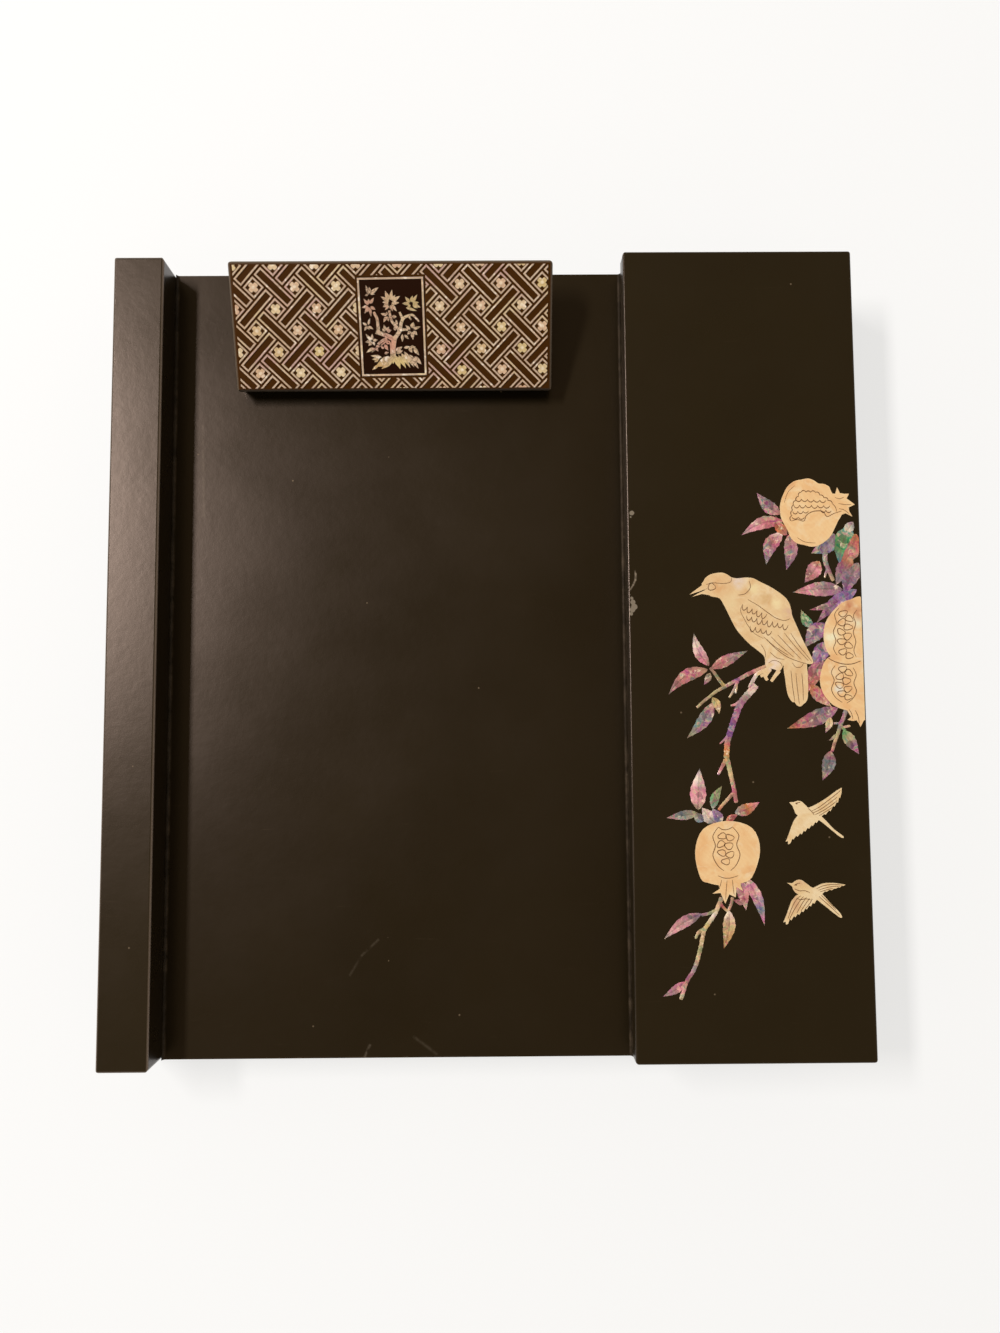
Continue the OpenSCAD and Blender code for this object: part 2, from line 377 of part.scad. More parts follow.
TREE_LEAVES = [[-6, 8.5, -6.7, 10.9, 0.78], [-5.7, 8.9, -5.8, 10.5, 0.86],
    [-5.4, 8.9, -3.3, 10.3, 0.98], [-5.7, 8.8, -4.4, 8.6, 0.59], [-6.2, 8.5, -7.1, 8.3, 0.59],
    [-6.3, 5.8, -7.5, 7.5, 0.78], [-5.7, 6.2, -4.7, 7.7, 0.78], [-6.4, 5.5, -8.1, 5.2, 0.78],
    [-6.3, 5.3, -7.4, 3.7, 0.78], [-5.7, 5.4, -4.4, 4.6, 0.86], [-6.2, 6.1, -6.1, 7.4, 0.78],
    [-5.9, 5.1, -5.7, 2.9, 0.78], [-6.1, 5.3, -6.6, 4, 0.59], [-7, 0.6, -8.1, 1.3, 0.7],
    [-6.6, 0.7, -6, 2.4, 0.67], [-6.9, 0.4, -7.7, -0.8, 0.74], [-6.5, 0.4, -5.3, -0.5, 0.67],
    [-6.9, 0.3, -6.3, -0.6, 0.51], [-6, -3.4, -7.4, -1.7, 0.78], [-5.8, -3.3, -5.6, -1.7, 0.78],
    [-6, -3.6, -7.7, -3.8, 0.82], [-5.8, -3.8, -6.8, -4.8, 0.82], [-5.5, -3.4, -4.2, -3.3, 0.78],
    [-5.5, -3.7, -5.1, -4.8, 0.7], [-5.5, -5.3, -7.5, -6.6, 0.82], [-5.2, -5.4, -6, -6.6, 0.82],
    [-4.9, -5.3, -4.2, -6.3, 0.82], [-4.8, -5, -3.4, -5, 0.7], [-3.3, -7.9, -6.4, -7.4, 0.9],
    [-3.9, -8.3, -6.1, -8.4, 0.78], [-4.3, -8.6, -5.4, -9.1, 0.59], [-0.6, 6.6, -2.8, 8, 0.9],
    [-0.6, 6.9, -1.5, 9.4, 1.1], [-0.2, 7, 0.4, 9.7, 0.9], [0.3, 6.7, 2.5, 8, 0.98],
    [0.1, 6.2, 2.2, 6.3, 0.9], [-0.8, 6, -2.3, 5.3, 0.98], [-0.7, 6.3, -2.4, 6.5, 0.7],
    [0.1, 5.9, 1.4, 4.1, 0.86], [-0.3, 5.7, 0.3, 4.1, 0.78], [0.1, 6.9, 1.2, 8.3, 0.78],
    [-0.7, 5.6, -1.7, 4.5, 0.67], [-1.4, 3.1, -3, 3.6, 0.78], [-1.5, 2.8, -2.3, 1.3, 0.82],
    [-1.3, 2.8, -0.9, 1.5, 0.74], [-1.4, 3.2, -1.3, 4, 0.63], [0.1, 2.7, 1.3, 2.7, 0.94],
    [1.4, 0.6, 1.1, 1.9, 0.7], [0.8, -0.9, 0.5, 0.1, 0.7], [-1.8, -0.9, -2.3, 0.7, 0.78],
    [-1.6, -1, -0.3, -0.8, 1.1], [-2, -1.1, -2.8, -0.4, 0.7], [-1.6, -0.8, -0.9, 0.1, 0.59],
    [5, 6, 3, 6.1, 0.9], [5.1, 6.3, 3.9, 7.8, 0.86], [5.4, 6.4, 5.9, 8, 0.86],
    [5.8, 6.3, 7.2, 8.3, 0.86], [5.9, 5.9, 8, 5, 0.98], [5.9, 6.1, 7.6, 6.3, 0.78],
    [4, 5, 7, 4.1, 0.78], [5.3, 5.6, 4.4, 5.3, 0.67], [5.9, 5.6, 7.1, 4.8, 0.7],
    [4.9, -0.7, 3.7, 0.4, 0.78], [5.4, -0.4, 5.9, 1.2, 1.29], [5.8, -0.6, 7.8, 0, 0.82],
    [5.8, -1.1, 6.8, -2.2, 0.94], [5.4, -1.3, 5.6, -3.4, 0.98], [5, -1.1, 4.1, -2, 0.82],
    [2.7, -1.9, 2.6, -3.9, 0.78], [3.3, -2.1, 4.4, -3.2, 0.74], [3, -5.5, 4.7, -5.2, 0.78],
    [4.4, -5.4, 5.2, -6.8, 1.06], [5.7, -5.6, 7.1, -7.5, 1.1], [4.7, -5.2, 6.3, -5.4, 0.7],
    [-2.4, -4.5, -1.4, -6.1, 0.98], [-2.6, -5.6, -3.4, -5, 0.67], [-2.5, -6.9, -1.3, -6.6, 0.74],
    [-1.9, -4.1, -0.9, -4.4, 0.51]];
TREE_MOUND = [[-0.2, -8.1, -5.1, -10.3, 2.58], [-4.4, -10, -6.1, -11.2, 0.78],
    [-0.4, -8.9, -3.5, -11, 1.17], [-0.2, -8, -0.2, -9.7, 0.98], [0.5, -7.5, 1.7, -11.1, 1.64],
    [1.4, -7.4, 3.3, -10.9, 1.21], [2.2, -6.9, 4.5, -10.8, 1.17], [3, -6.5, 5.6, -10.7, 1.17],
    [4.4, -7.3, 6.8, -11.1, 1.37], [5.8, -7.8, 7.7, -10, 1.17], [0.7, -6.3, 2.5, -5.2, 1.17],
    [0.8, -6.9, 2.7, -6.2, 0.98]];
TREE_STEPS = 5;

// Slab profile with rounded top and, where asked, rounded lower corners
module slab_profile(w, h, top_r, under_r = 0) {
    translate([-w / 2, under_r]) square([w, h - top_r - under_r]);
    translate([top_r - w / 2, h / 2]) square([w - 2 * top_r, h / 2]);
    for (s = [-1, 1]) translate([s * (w / 2 - top_r), h - top_r]) circle(top_r);
    if (under_r > 0) {
        translate([under_r - w / 2, 0]) square([w - 2 * under_r, h / 2]);
        for (s = [-1, 1]) translate([s * (w / 2 - under_r), under_r]) circle(under_r);
    }
}

module plan_profile(w, d, r) {
    square([w - 2 * r, d], center = true);
    square([w, d - 2 * r], center = true);
    for (x = [-1, 1], y = [-1, 1]) translate([x * (w / 2 - r), y * (d / 2 - r)]) circle(r);
}

// Board standing on z = 0 with eased edges
module eased_board(w, d, h, top_r, plan_r, under_r = 0) {
    intersection() {
        translate([0, d / 2, 0]) rotate([90, 0, 0]) linear_extrude(d) slab_profile(w, h, top_r, under_r);
        translate([-w / 2, 0, 0]) rotate([90, 0, 90]) linear_extrude(w) slab_profile(d, h, top_r, under_r);
        linear_extrude(h) plan_profile(w, d, plan_r);
    }
}

// Body
module bottom_board() {
    color(lacquer) translate([-body_w / 2, -body_d / 2, bottom_z]) cube([body_w, body_d, bottom_t]);
}

module base_felt() {
    color(felt) linear_extrude(felt_t)
        plan_profile(body_w - 2 * felt_inset, body_d - 2 * felt_inset, felt_corner_r);
}

module left_rail() {
    color(lacquer) translate([panel_l - rail_w / 2, 0, floor_z])
        eased_board(rail_w, body_d, top_z - floor_z, rail_ease_r, corner_r);
}

module panel_battens() {
    color(lacquer) for (x = [panel_l, panel_x - batten_w / 2, panel_r - batten_w])
        translate([x, batten_w - body_d / 2, floor_z]) cube([batten_w, body_d - 2 * batten_w, batten_h]);
}

module fascia() {
    cube([panel_w, batten_w, batten_h]);
}

module front_fascia() {
    color(lacquer) translate([panel_l, -body_d / 2, floor_z]) fascia();
}

module back_fascia() {
    color(lacquer) translate([panel_l, body_d / 2 - batten_w, floor_z]) fascia();
}

module writing_panel() {
    color(lacquer) difference() {
        translate([panel_l, -body_d / 2, panel_z]) cube([panel_w, body_d, panel_t]);
        clip_base_screw_places() translate([0, 0, -clip_screw_l])
            cylinder(h = clip_screw_l + cut, r = clip_shank_r + fix_gap);
    }
}

// Hollow fillets along the panel, rising against the rail and the pen box
module fillet_profile() {
    polygon(concat([[0, 0]], [for (a = [0 : 15 : 90])
        [cove_r * (sin(a) - 1) - cove_edge, cove_r * (1 - cos(a))]], [[0, cove_r]]));
}

module panel_fillets() {
    color(lacquer) for (s = [0, 1]) translate([panel_x, body_d / 2, paper_z]) mirror([s, 0, 0])
        translate([panel_w / 2, 0, 0]) rotate([90, 0, 0]) linear_extrude(body_d) fillet_profile();
}

// Pen box
module box_inner_wall() {
    color(lacquer) difference() {
        translate([panel_r, -body_d / 2, floor_z]) cube([wall_t, body_d, seam_z - floor_z]);
        translate([panel_r - nick_depth, -nick_l / 2, seam_z - nick_depth])
            cube([2 * nick_depth, nick_l, nick_depth + cut]);
    }
}

module box_outer_wall() {
    color(lacquer) difference() {
        translate([body_w / 2 - wall_t, -body_d / 2, floor_z]) cube([wall_t, body_d, seam_z - floor_z]);
        seam_chamfer(-1);
        hinge_seats(-1);
    }
}

module end_wall(y) {
    translate([panel_r + wall_t, y, floor_z]) cube([box_w - 2 * wall_t, wall_t, seam_z - floor_z]);
}

module box_front_wall() {
    color(lacquer) end_wall(-body_d / 2);
}

module box_back_wall() {
    color(lacquer) end_wall(body_d / 2 - wall_t);
}

module box_lining() {
    color(felt) translate([panel_r + wall_t + lining_gap, wall_t + lining_gap - body_d / 2, floor_z])
        cube([box_w - 2 * (wall_t + lining_gap), body_d - 2 * (wall_t + lining_gap), lining_t]);
}

// Chamfer along the hinge line, below (-1) or above (+1) the seam
module seam_chamfer(side) {
    reach = hinge_inset + cut;
    rise = side * reach * tan(lid_stop / 2);
    translate([hinge_x, body_d, seam_z]) rotate([90, 0, 0]) linear_extrude(2 * body_d)
        polygon([[0, 0], [reach, 0], [reach, rise]]);
}

// Both hinges, their middles on the hinge line
module at_hinges() {
    for (y = [-hinge_y, hinge_y]) translate([hinge_x, y + lid_set_back / 2, seam_z]) children();
}

module barrel(y0, y1, r) {
    translate([0, y1, 0]) rotate([90, 0, 0]) cylinder(h = y1 - y0, r = r);
}

// Seats cut in wood for the leaves on one side of the seam
module hinge_seats(side) {
    long = hinge_l / 2 + seat_gap;
    depth = leaf_gap + leaf_t;
    at_hinges() {
        barrel(-long, long, knuckle_r + seat_gap);
        translate([-leaf_w - seat_gap, -long, side > 0 ? -cut : -depth])
            cube([leaf_w + seat_gap, 2 * long, depth + cut]);
    }
    leaf_screw_places(side) cylinder(h = leaf_t + hinge_screw_l + cut, r = hinge_shank_r + fix_gap);
}

// Screw places on the leaves, with +Z running into the wood
module leaf_screw_places(side) {
    at_hinges() for (y = [-1, 1]) translate([-leaf_screw_x, y * hinge_screw_gap / 2, side * leaf_gap])
        rotate([side > 0 ? 0 : 180, 0, 0]) children();
}

// Leaves of both hinges on one side, with knuckles over the listed spans
module hinge_leaves(side, spans) {
    difference() {
        at_hinges() difference() {
            union() {
                translate([-leaf_w, -hinge_l / 2, side > 0 ? leaf_gap : -leaf_gap - leaf_t])
                    cube([leaf_w - leaf_reach, hinge_l, leaf_t]);
                for (s = spans) {
                    translate([-leaf_w, s[0], side > 0 ? leaf_gap : -leaf_gap - leaf_t])
                        cube([leaf_w, s[1] - s[0], leaf_t]);
                    barrel(s[0], s[1], knuckle_r);
                }
            }
            barrel(-hinge_l, hinge_l, hinge_pin_r + run_gap);
        }
        leaf_screw_places(side) translate([0, 0, -cut]) {
            cylinder(h = leaf_t + 2 * cut, r = hinge_shank_r + fix_gap);
            screw_head_cone(fix_gap);
        }
    }
}

// Countersunk head, its flat at the leaf's outer face
module screw_head_cone(gap) {
    translate([0, 0, cut - gap])
        cylinder(h = leaf_t + gap, r1 = hinge_head_r + gap, r2 = hinge_shank_r + gap);
}

module hinge_screws(side) {
    leaf_screw_places(side) {
        cylinder(h = leaf_t, r1 = hinge_head_r, r2 = hinge_shank_r);
        cylinder(h = leaf_t + hinge_screw_l - hinge_shank_r, r = hinge_shank_r);
        translate([0, 0, leaf_t + hinge_screw_l - hinge_shank_r])
            cylinder(h = hinge_shank_r, r1 = hinge_shank_r, r2 = hinge_shank_r / 4);
    }
}

module hinge_box_leaves() {
    third = hinge_l / 6 + knuckle_gap / 2;
    color(brass) hinge_leaves(-1, [[-hinge_l / 2, -third], [third, hinge_l / 2]]);
}

module hinge_lid_leaves() {
    third = hinge_l / 6 - knuckle_gap / 2;
    color(brass) hinge_leaves(1, [[-third, third]]);
}

module hinge_pins() {
    color(brass) at_hinges() barrel(-hinge_l / 2, hinge_l / 2, hinge_pin_r);
}

module hinge_box_screws() {
    color(brass) hinge_screws(-1);
}

module hinge_lid_screws() {
    color(brass) hinge_screws(1);
}

// Lid and its inlay
module lid() {
    color(lacquer) difference() {
        translate([lid_x, lid_set_back, seam_z]) eased_board(lid_w, body_d, lid_t, ease_r, corner_r);
        seam_chamfer(1);
        hinge_seats(1);
    }
}

module on_lid() {
    translate([0, 0, top_z]) linear_extrude(shell_t) intersection() {
        translate([lid_x, lid_set_back]) square([lid_w - 2 * ease_r, body_d - 2 * ease_r], center = true);
        translate([body_w / 2, lid_set_back]) children();
    }
}

module bird_plan() {
    polygon(closed_curve(BIRD, 4));
    for (p = BEAK) polygon(p);
    polygon(closed_curve(BIRD_TAIL, 4));
    for (p = BIRD_FEET) polygon(twig(p, FOOT_W[0], FOOT_W[1]));
}

module fruit_plan() {
    for (p = FRUITS) polygon(closed_curve(p, 4));
    for (p = CROWNS) polygon(p);
}

module twig_plan() {
    for (t = TWIGS) polygon(twig(t[0], t[1], t[2]));
}

module inlay_large_bird() {
    color(shell) on_lid() bird_plan();
}

module inlay_pomegranates() {
    color(shell) on_lid() difference() {
        fruit_plan();
        offset(delta = shell_gap) bird_plan();
    }
}

module inlay_branches() {
    color(pearl) on_lid() difference() {
        twig_plan();
        offset(delta = shell_gap) {
            bird_plan();
            fruit_plan();
        }
    }
}

module inlay_leaves() {
    color(pearl) on_lid() difference() {
        for (v = LEAVES) polygon(leaf([v[0], v[1]], [v[2], v[3]], v[4], v[5]));
        offset(delta = shell_gap) {
            bird_plan();
            fruit_plan();
            twig_plan();
        }
    }
}

module inlay_small_birds() {
    color(shell) on_lid() {
        for (p = FLYER_BODIES) polygon(closed_curve(p, 3));
        for (p = FLYER_WINGS) polygon(p);
    }
}

// Clip, laid out from its pin
module at_pin() {
    translate([panel_x - clip_shift, pin_y, pin_z]) children();
}

module on_clip() {
    at_pin() rotate([clip_tilt, 0, 0]) children();
}

module cross_pin(x0, x1, r) {
    translate([x0, 0, 0]) rotate([0, 90, 0]) cylinder(h = x1 - x0, r = r);
}

module clip_base_screw_places() {
    at_pin() for (x = [-1, 1], y = [-clip_screw_front, clip_screw_rear])
        translate([x * clip_screw_x, y, -pin_h]) children();
}

module clip_bracket_screw_places() {
    on_clip() for (x = [-1, 1], y = [-clip_screw_front, clip_screw_rear])
        translate([x * clip_screw_x, y, pin_drop]) children();
}

// Pan-head screw, its sheet seat at z = seat and its shank along +Z from there
module pan_screw(seat, sheet) {
    difference() {
        translate([0, 0, seat - clip_head_h]) cylinder(h = clip_head_h, r = clip_head_r);
        translate([-clip_head_r, -clip_head_h / 4, seat - clip_head_h - cut])
            cube([2 * clip_head_r, clip_head_h / 2, cut + clip_head_h / 2]);
    }
    translate([0, 0, seat]) cylinder(h = sheet + clip_screw_l - clip_shank_r, r = clip_shank_r);
    translate([0, 0, seat + sheet + clip_screw_l - clip_shank_r])
        cylinder(h = clip_shank_r, r1 = clip_shank_r, r2 = clip_shank_r / 4);
}

module clip_base() {
    color(iron) difference() {
        at_pin() {
            translate([-base_w / 2, -base_front, -pin_h]) cube([base_w, base_front + base_rear, base_t]);
            for (x = [-ear_x - ear_t, ear_x]) {
                cross_pin(x, x + ear_t, ear_r);
                translate([x, -ear_r, -pin_h]) cube([ear_t, 2 * ear_r, pin_h]);
            }
        }
        at_pin() cross_pin(-base_w, base_w, clip_pin_r + fix_gap);
        clip_base_screw_places() cylinder(h = 2 * base_t, r = clip_shank_r + fix_gap, center = true);
        clip_base_screw_places() cylinder(h = 2 * base_t, r = clip_shank_r + fix_gap);
    }
}

module clip_base_screws() {
    color(brass) clip_base_screw_places() mirror([0, 0, 1]) pan_screw(-base_t, base_t);
}

module clip_pin() {
    half = pin_l / 2;
    color(iron) at_pin() {
        cross_pin(-half, half, clip_pin_r);
        for (x = [-half - rivet_l, half]) cross_pin(x, x + rivet_l, rivet_r);
    }
}

// Torsion spring: lower leg on the base, coil round the pin, upper leg under the bracket
module clip_spring() {
    steps = 20;
    sides = 8;
    a0 = -90;
    sweep = 360 * coil_turns - 180 - clip_tilt;
    n = round(sweep / 360 * steps);
    a1 = a0 - sweep;
    low = [coil_l / -2, leg_l, base_t + wire_r + leaf_gap / 5 - pin_h];
    up_v = pin_drop - bracket_t - wire_r - leaf_gap / 5;
    up = [coil_l / 2, leg_l * cos(clip_tilt) - up_v * sin(clip_tilt),
        leg_l * sin(clip_tilt) + up_v * cos(clip_tilt)];
    path = concat([low], [for (i = [0 : n]) let (a = a0 - sweep * i / n)
        [coil_l * (i / n - 0.5), coil_r * cos(a), coil_r * sin(a)]], [up]);
    out = concat([[0, cos(a0), sin(a0)]],
        [for (i = [0 : n]) let (a = a0 - sweep * i / n) [0, cos(a), sin(a)]], [[0, cos(a1), sin(a1)]]);
    m = len(path) - 1;
    turn_gap = min([for (i = [1 : m - 1 - steps]) norm(path[i + steps] - path[i])]) - 2 * wire_r;
    echo(spring_turn_gap = turn_gap);
    rings = [for (i = [0 : m]) let (t = path[min(i + 1, m)] - path[max(i - 1, 0)], b0 = cross(t, out[i]),
            b = b0 / norm(b0), u0 = cross(b, t), u = u0 / norm(u0))
        for (k = [0 : sides - 1]) path[i] + wire_r * (cos(360 * k / sides) * u + sin(360 * k / sides) * b)];
    walls = [for (i = [0 : m - 1], k = [0 : sides - 1]) let (k2 = (k + 1) % sides)
        [i * sides + k, i * sides + k2, (i + 1) * sides + k2, (i + 1) * sides + k]];
    ends = [[for (k = [sides - 1 : -1 : 0]) k], [for (k = [0 : sides - 1]) m * sides + k]];
    color(iron) at_pin() polyhedron(points = rings, faces = concat(walls, ends), convexity = 10);
}

module clip_bracket() {
    x_out = ear_x + 2 * ear_t + ear_gap;
    under = pin_drop - bracket_t;
    color(iron) difference() {
        on_clip() {
            translate([-x_out, -bracket_front, under])
                cube([2 * x_out, bracket_front + bracket_rear, bracket_t]);
            for (x = [-x_out, x_out - ear_t]) {
                cross_pin(x, x + ear_t, ear_r);
                translate([x, -ear_r, 0]) cube([ear_t, 2 * ear_r, pin_drop - bracket_t / 2]);
            }
            translate([-lip_w / 2, bracket_rear - bracket_t, -lip_end])
                cube([lip_w, bracket_t, lip_end + pin_drop - bracket_t / 2]);
        }
        on_clip() cross_pin(-base_w, base_w, clip_pin_r + run_gap);
        clip_bracket_screw_places() cylinder(h = 4 * bracket_t, r = clip_shank_r + fix_gap, center = true);
    }
}

module clip_bracket_screws() {
    color(brass) clip_bracket_screw_places() pan_screw(-bracket_t, bracket_t);
}

module clip_plate() {
    color(lacquer) difference() {
        on_clip() translate([0, plate_mid, pin_drop])
            eased_board(clip_w, clip_l, clip_t, clip_ease_r, corner_r, clip_under_r);
        clip_bracket_screw_places() translate([0, 0, -cut])
            cylinder(h = clip_screw_l + cut, r = clip_shank_r + fix_gap);
    }
}

// Clip inlay, laid out from the middle of the plate's top
module on_plate() {
    on_clip() translate([0, plate_mid, plate_top]) linear_extrude(shell_t) intersection() {
        square([clip_w - 2 * border_x, clip_l - 2 * border_y], center = true);
        rotate(lattice_turn) children();
    }
}

module outline(w, d, line) {
    difference() {
        square([w, d], center = true);
        square([w - 2 * line, d - 2 * line], center = true);
    }
}

module bars(dx, dy, angle) {
    for (i = [-lattice_n - 1 : lattice_n + 1], j = [-lattice_m - 1 : lattice_m])
        translate([lattice_x + (i + dx) * lattice_p, lattice_y + (j + dy) * lattice_p])
            rotate(angle) outline(bar_l, bar_w, line_w);
}

// Four-petalled flower whose petals point to the middles of the square's sides
module flower() {
    for (a = [0, 90]) rotate(a) plan_profile(2 * flower_r, petal_w, petal_w / 4, $fn = petal_facets);
}

module squares(dx, dy) {
    for (i = [-lattice_n - 1 : lattice_n + 1], j = [-lattice_m - 1 : lattice_m])
        translate([lattice_x + (i + dx) * lattice_p, lattice_y + (j + dy) * lattice_p]) rotate(45) {
            outline(square_w, square_w, line_w);
            flower();
        }
}

module clip_lattice() {
    color(shell) on_plate() difference() {
        union() {
            bars(0.5, 0, -45);
            bars(0, 0.5, 45);
            squares(0, 0);
            squares(0.5, 0.5);
        }
        square([tile_w + 2 * bar_gap, tile_h + 2 * bar_gap], center = true);
    }
}

module clip_tile_frame() {
    color(shell) on_plate() outline(tile_w, tile_h, tile_line);
}

module clip_tile_tree() {
    inside = 2 * (tile_line + shell_gap);
    color(shell) on_plate() intersection() {
        square([tile_w - inside, tile_h - inside], center = true);
        tree_plan();
    }
}

module tree_plan() {
    union() {
        for (t = TREE_TWIGS) polygon(twig(t[0], t[1], t[2]));
        for (v = concat(TREE_LEAVES, TREE_MOUND))
            polygon(leaf([v[0], v[1]], [v[2], v[3]], v[4], 0, TREE_STEPS));
    }
}

bottom_board();
base_felt();
left_rail();
panel_battens();
front_fascia();
back_fascia();
writing_panel();
panel_fillets();
box_inner_wall();
box_outer_wall();
box_front_wall();
box_back_wall();
box_lining();
hinge_box_leaves();
hinge_pins();
hinge_box_screws();
lid();
hinge_lid_leaves();
hinge_lid_screws();
inlay_large_bird();
inlay_pomegranates();
inlay_branches();
inlay_leaves();
inlay_small_birds();
clip_base();
clip_base_screws();
clip_pin();
clip_spring();
clip_bracket();
clip_bracket_screws();
clip_plate();
clip_lattice();
clip_tile_frame();
clip_tile_tree();
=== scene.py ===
"""Looks of a lacquered writing box with a sprung paper clip and a lidded pen box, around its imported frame.

Metres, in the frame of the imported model. Plan tables are in millimetres.
"""
import math
import random

import bmesh
import bpy
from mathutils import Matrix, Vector, noise
from mathutils.bvhtree import BVHTree


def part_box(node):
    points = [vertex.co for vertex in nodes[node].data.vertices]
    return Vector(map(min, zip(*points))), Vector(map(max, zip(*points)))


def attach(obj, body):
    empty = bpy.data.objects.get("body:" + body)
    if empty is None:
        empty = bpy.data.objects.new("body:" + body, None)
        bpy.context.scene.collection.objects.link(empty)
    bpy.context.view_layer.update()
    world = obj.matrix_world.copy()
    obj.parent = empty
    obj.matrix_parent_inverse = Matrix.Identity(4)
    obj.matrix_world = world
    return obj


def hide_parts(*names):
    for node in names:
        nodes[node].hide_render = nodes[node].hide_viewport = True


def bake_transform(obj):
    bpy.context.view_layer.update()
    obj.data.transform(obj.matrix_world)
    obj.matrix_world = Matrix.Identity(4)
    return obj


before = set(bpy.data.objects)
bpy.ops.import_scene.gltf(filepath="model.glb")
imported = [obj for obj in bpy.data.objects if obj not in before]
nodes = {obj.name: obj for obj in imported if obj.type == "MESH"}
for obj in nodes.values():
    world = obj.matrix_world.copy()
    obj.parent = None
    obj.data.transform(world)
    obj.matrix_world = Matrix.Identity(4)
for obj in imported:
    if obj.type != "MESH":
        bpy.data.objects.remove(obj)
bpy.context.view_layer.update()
MM = 0.001
rng = random.Random(11)


def srgb(r, g, b):
    """A colour given as 0 to 255 on screen, as linear RGBA."""
    def lin(c):
        c /= 255
        return c / 12.92 if c <= 0.04045 else ((c + 0.055) / 1.055) ** 2.4
    return lin(r), lin(g), lin(b), 1.0


def new_object(name, data):
    ob = bpy.data.objects.new(name, data)
    bpy.context.scene.collection.objects.link(ob)
    return ob


# Camera
CAMERA_LENS = 27.007
CAMERA_AT = (0.002372, -0.025070, 0.298424)
CAMERA_TURN_DEG = (4.39494, -0.30882, -0.37515)
cam = bpy.data.cameras.new("camera")
cam.lens = CAMERA_LENS
cam.sensor_width = 36.0
cam.clip_start = 0.01
cam_ob = new_object("camera", cam)
cam_ob.location = CAMERA_AT
cam_ob.rotation_euler = [math.radians(a) for a in CAMERA_TURN_DEG]
bpy.context.scene.camera = cam_ob
bpy.context.scene.view_settings.view_transform = "Standard"


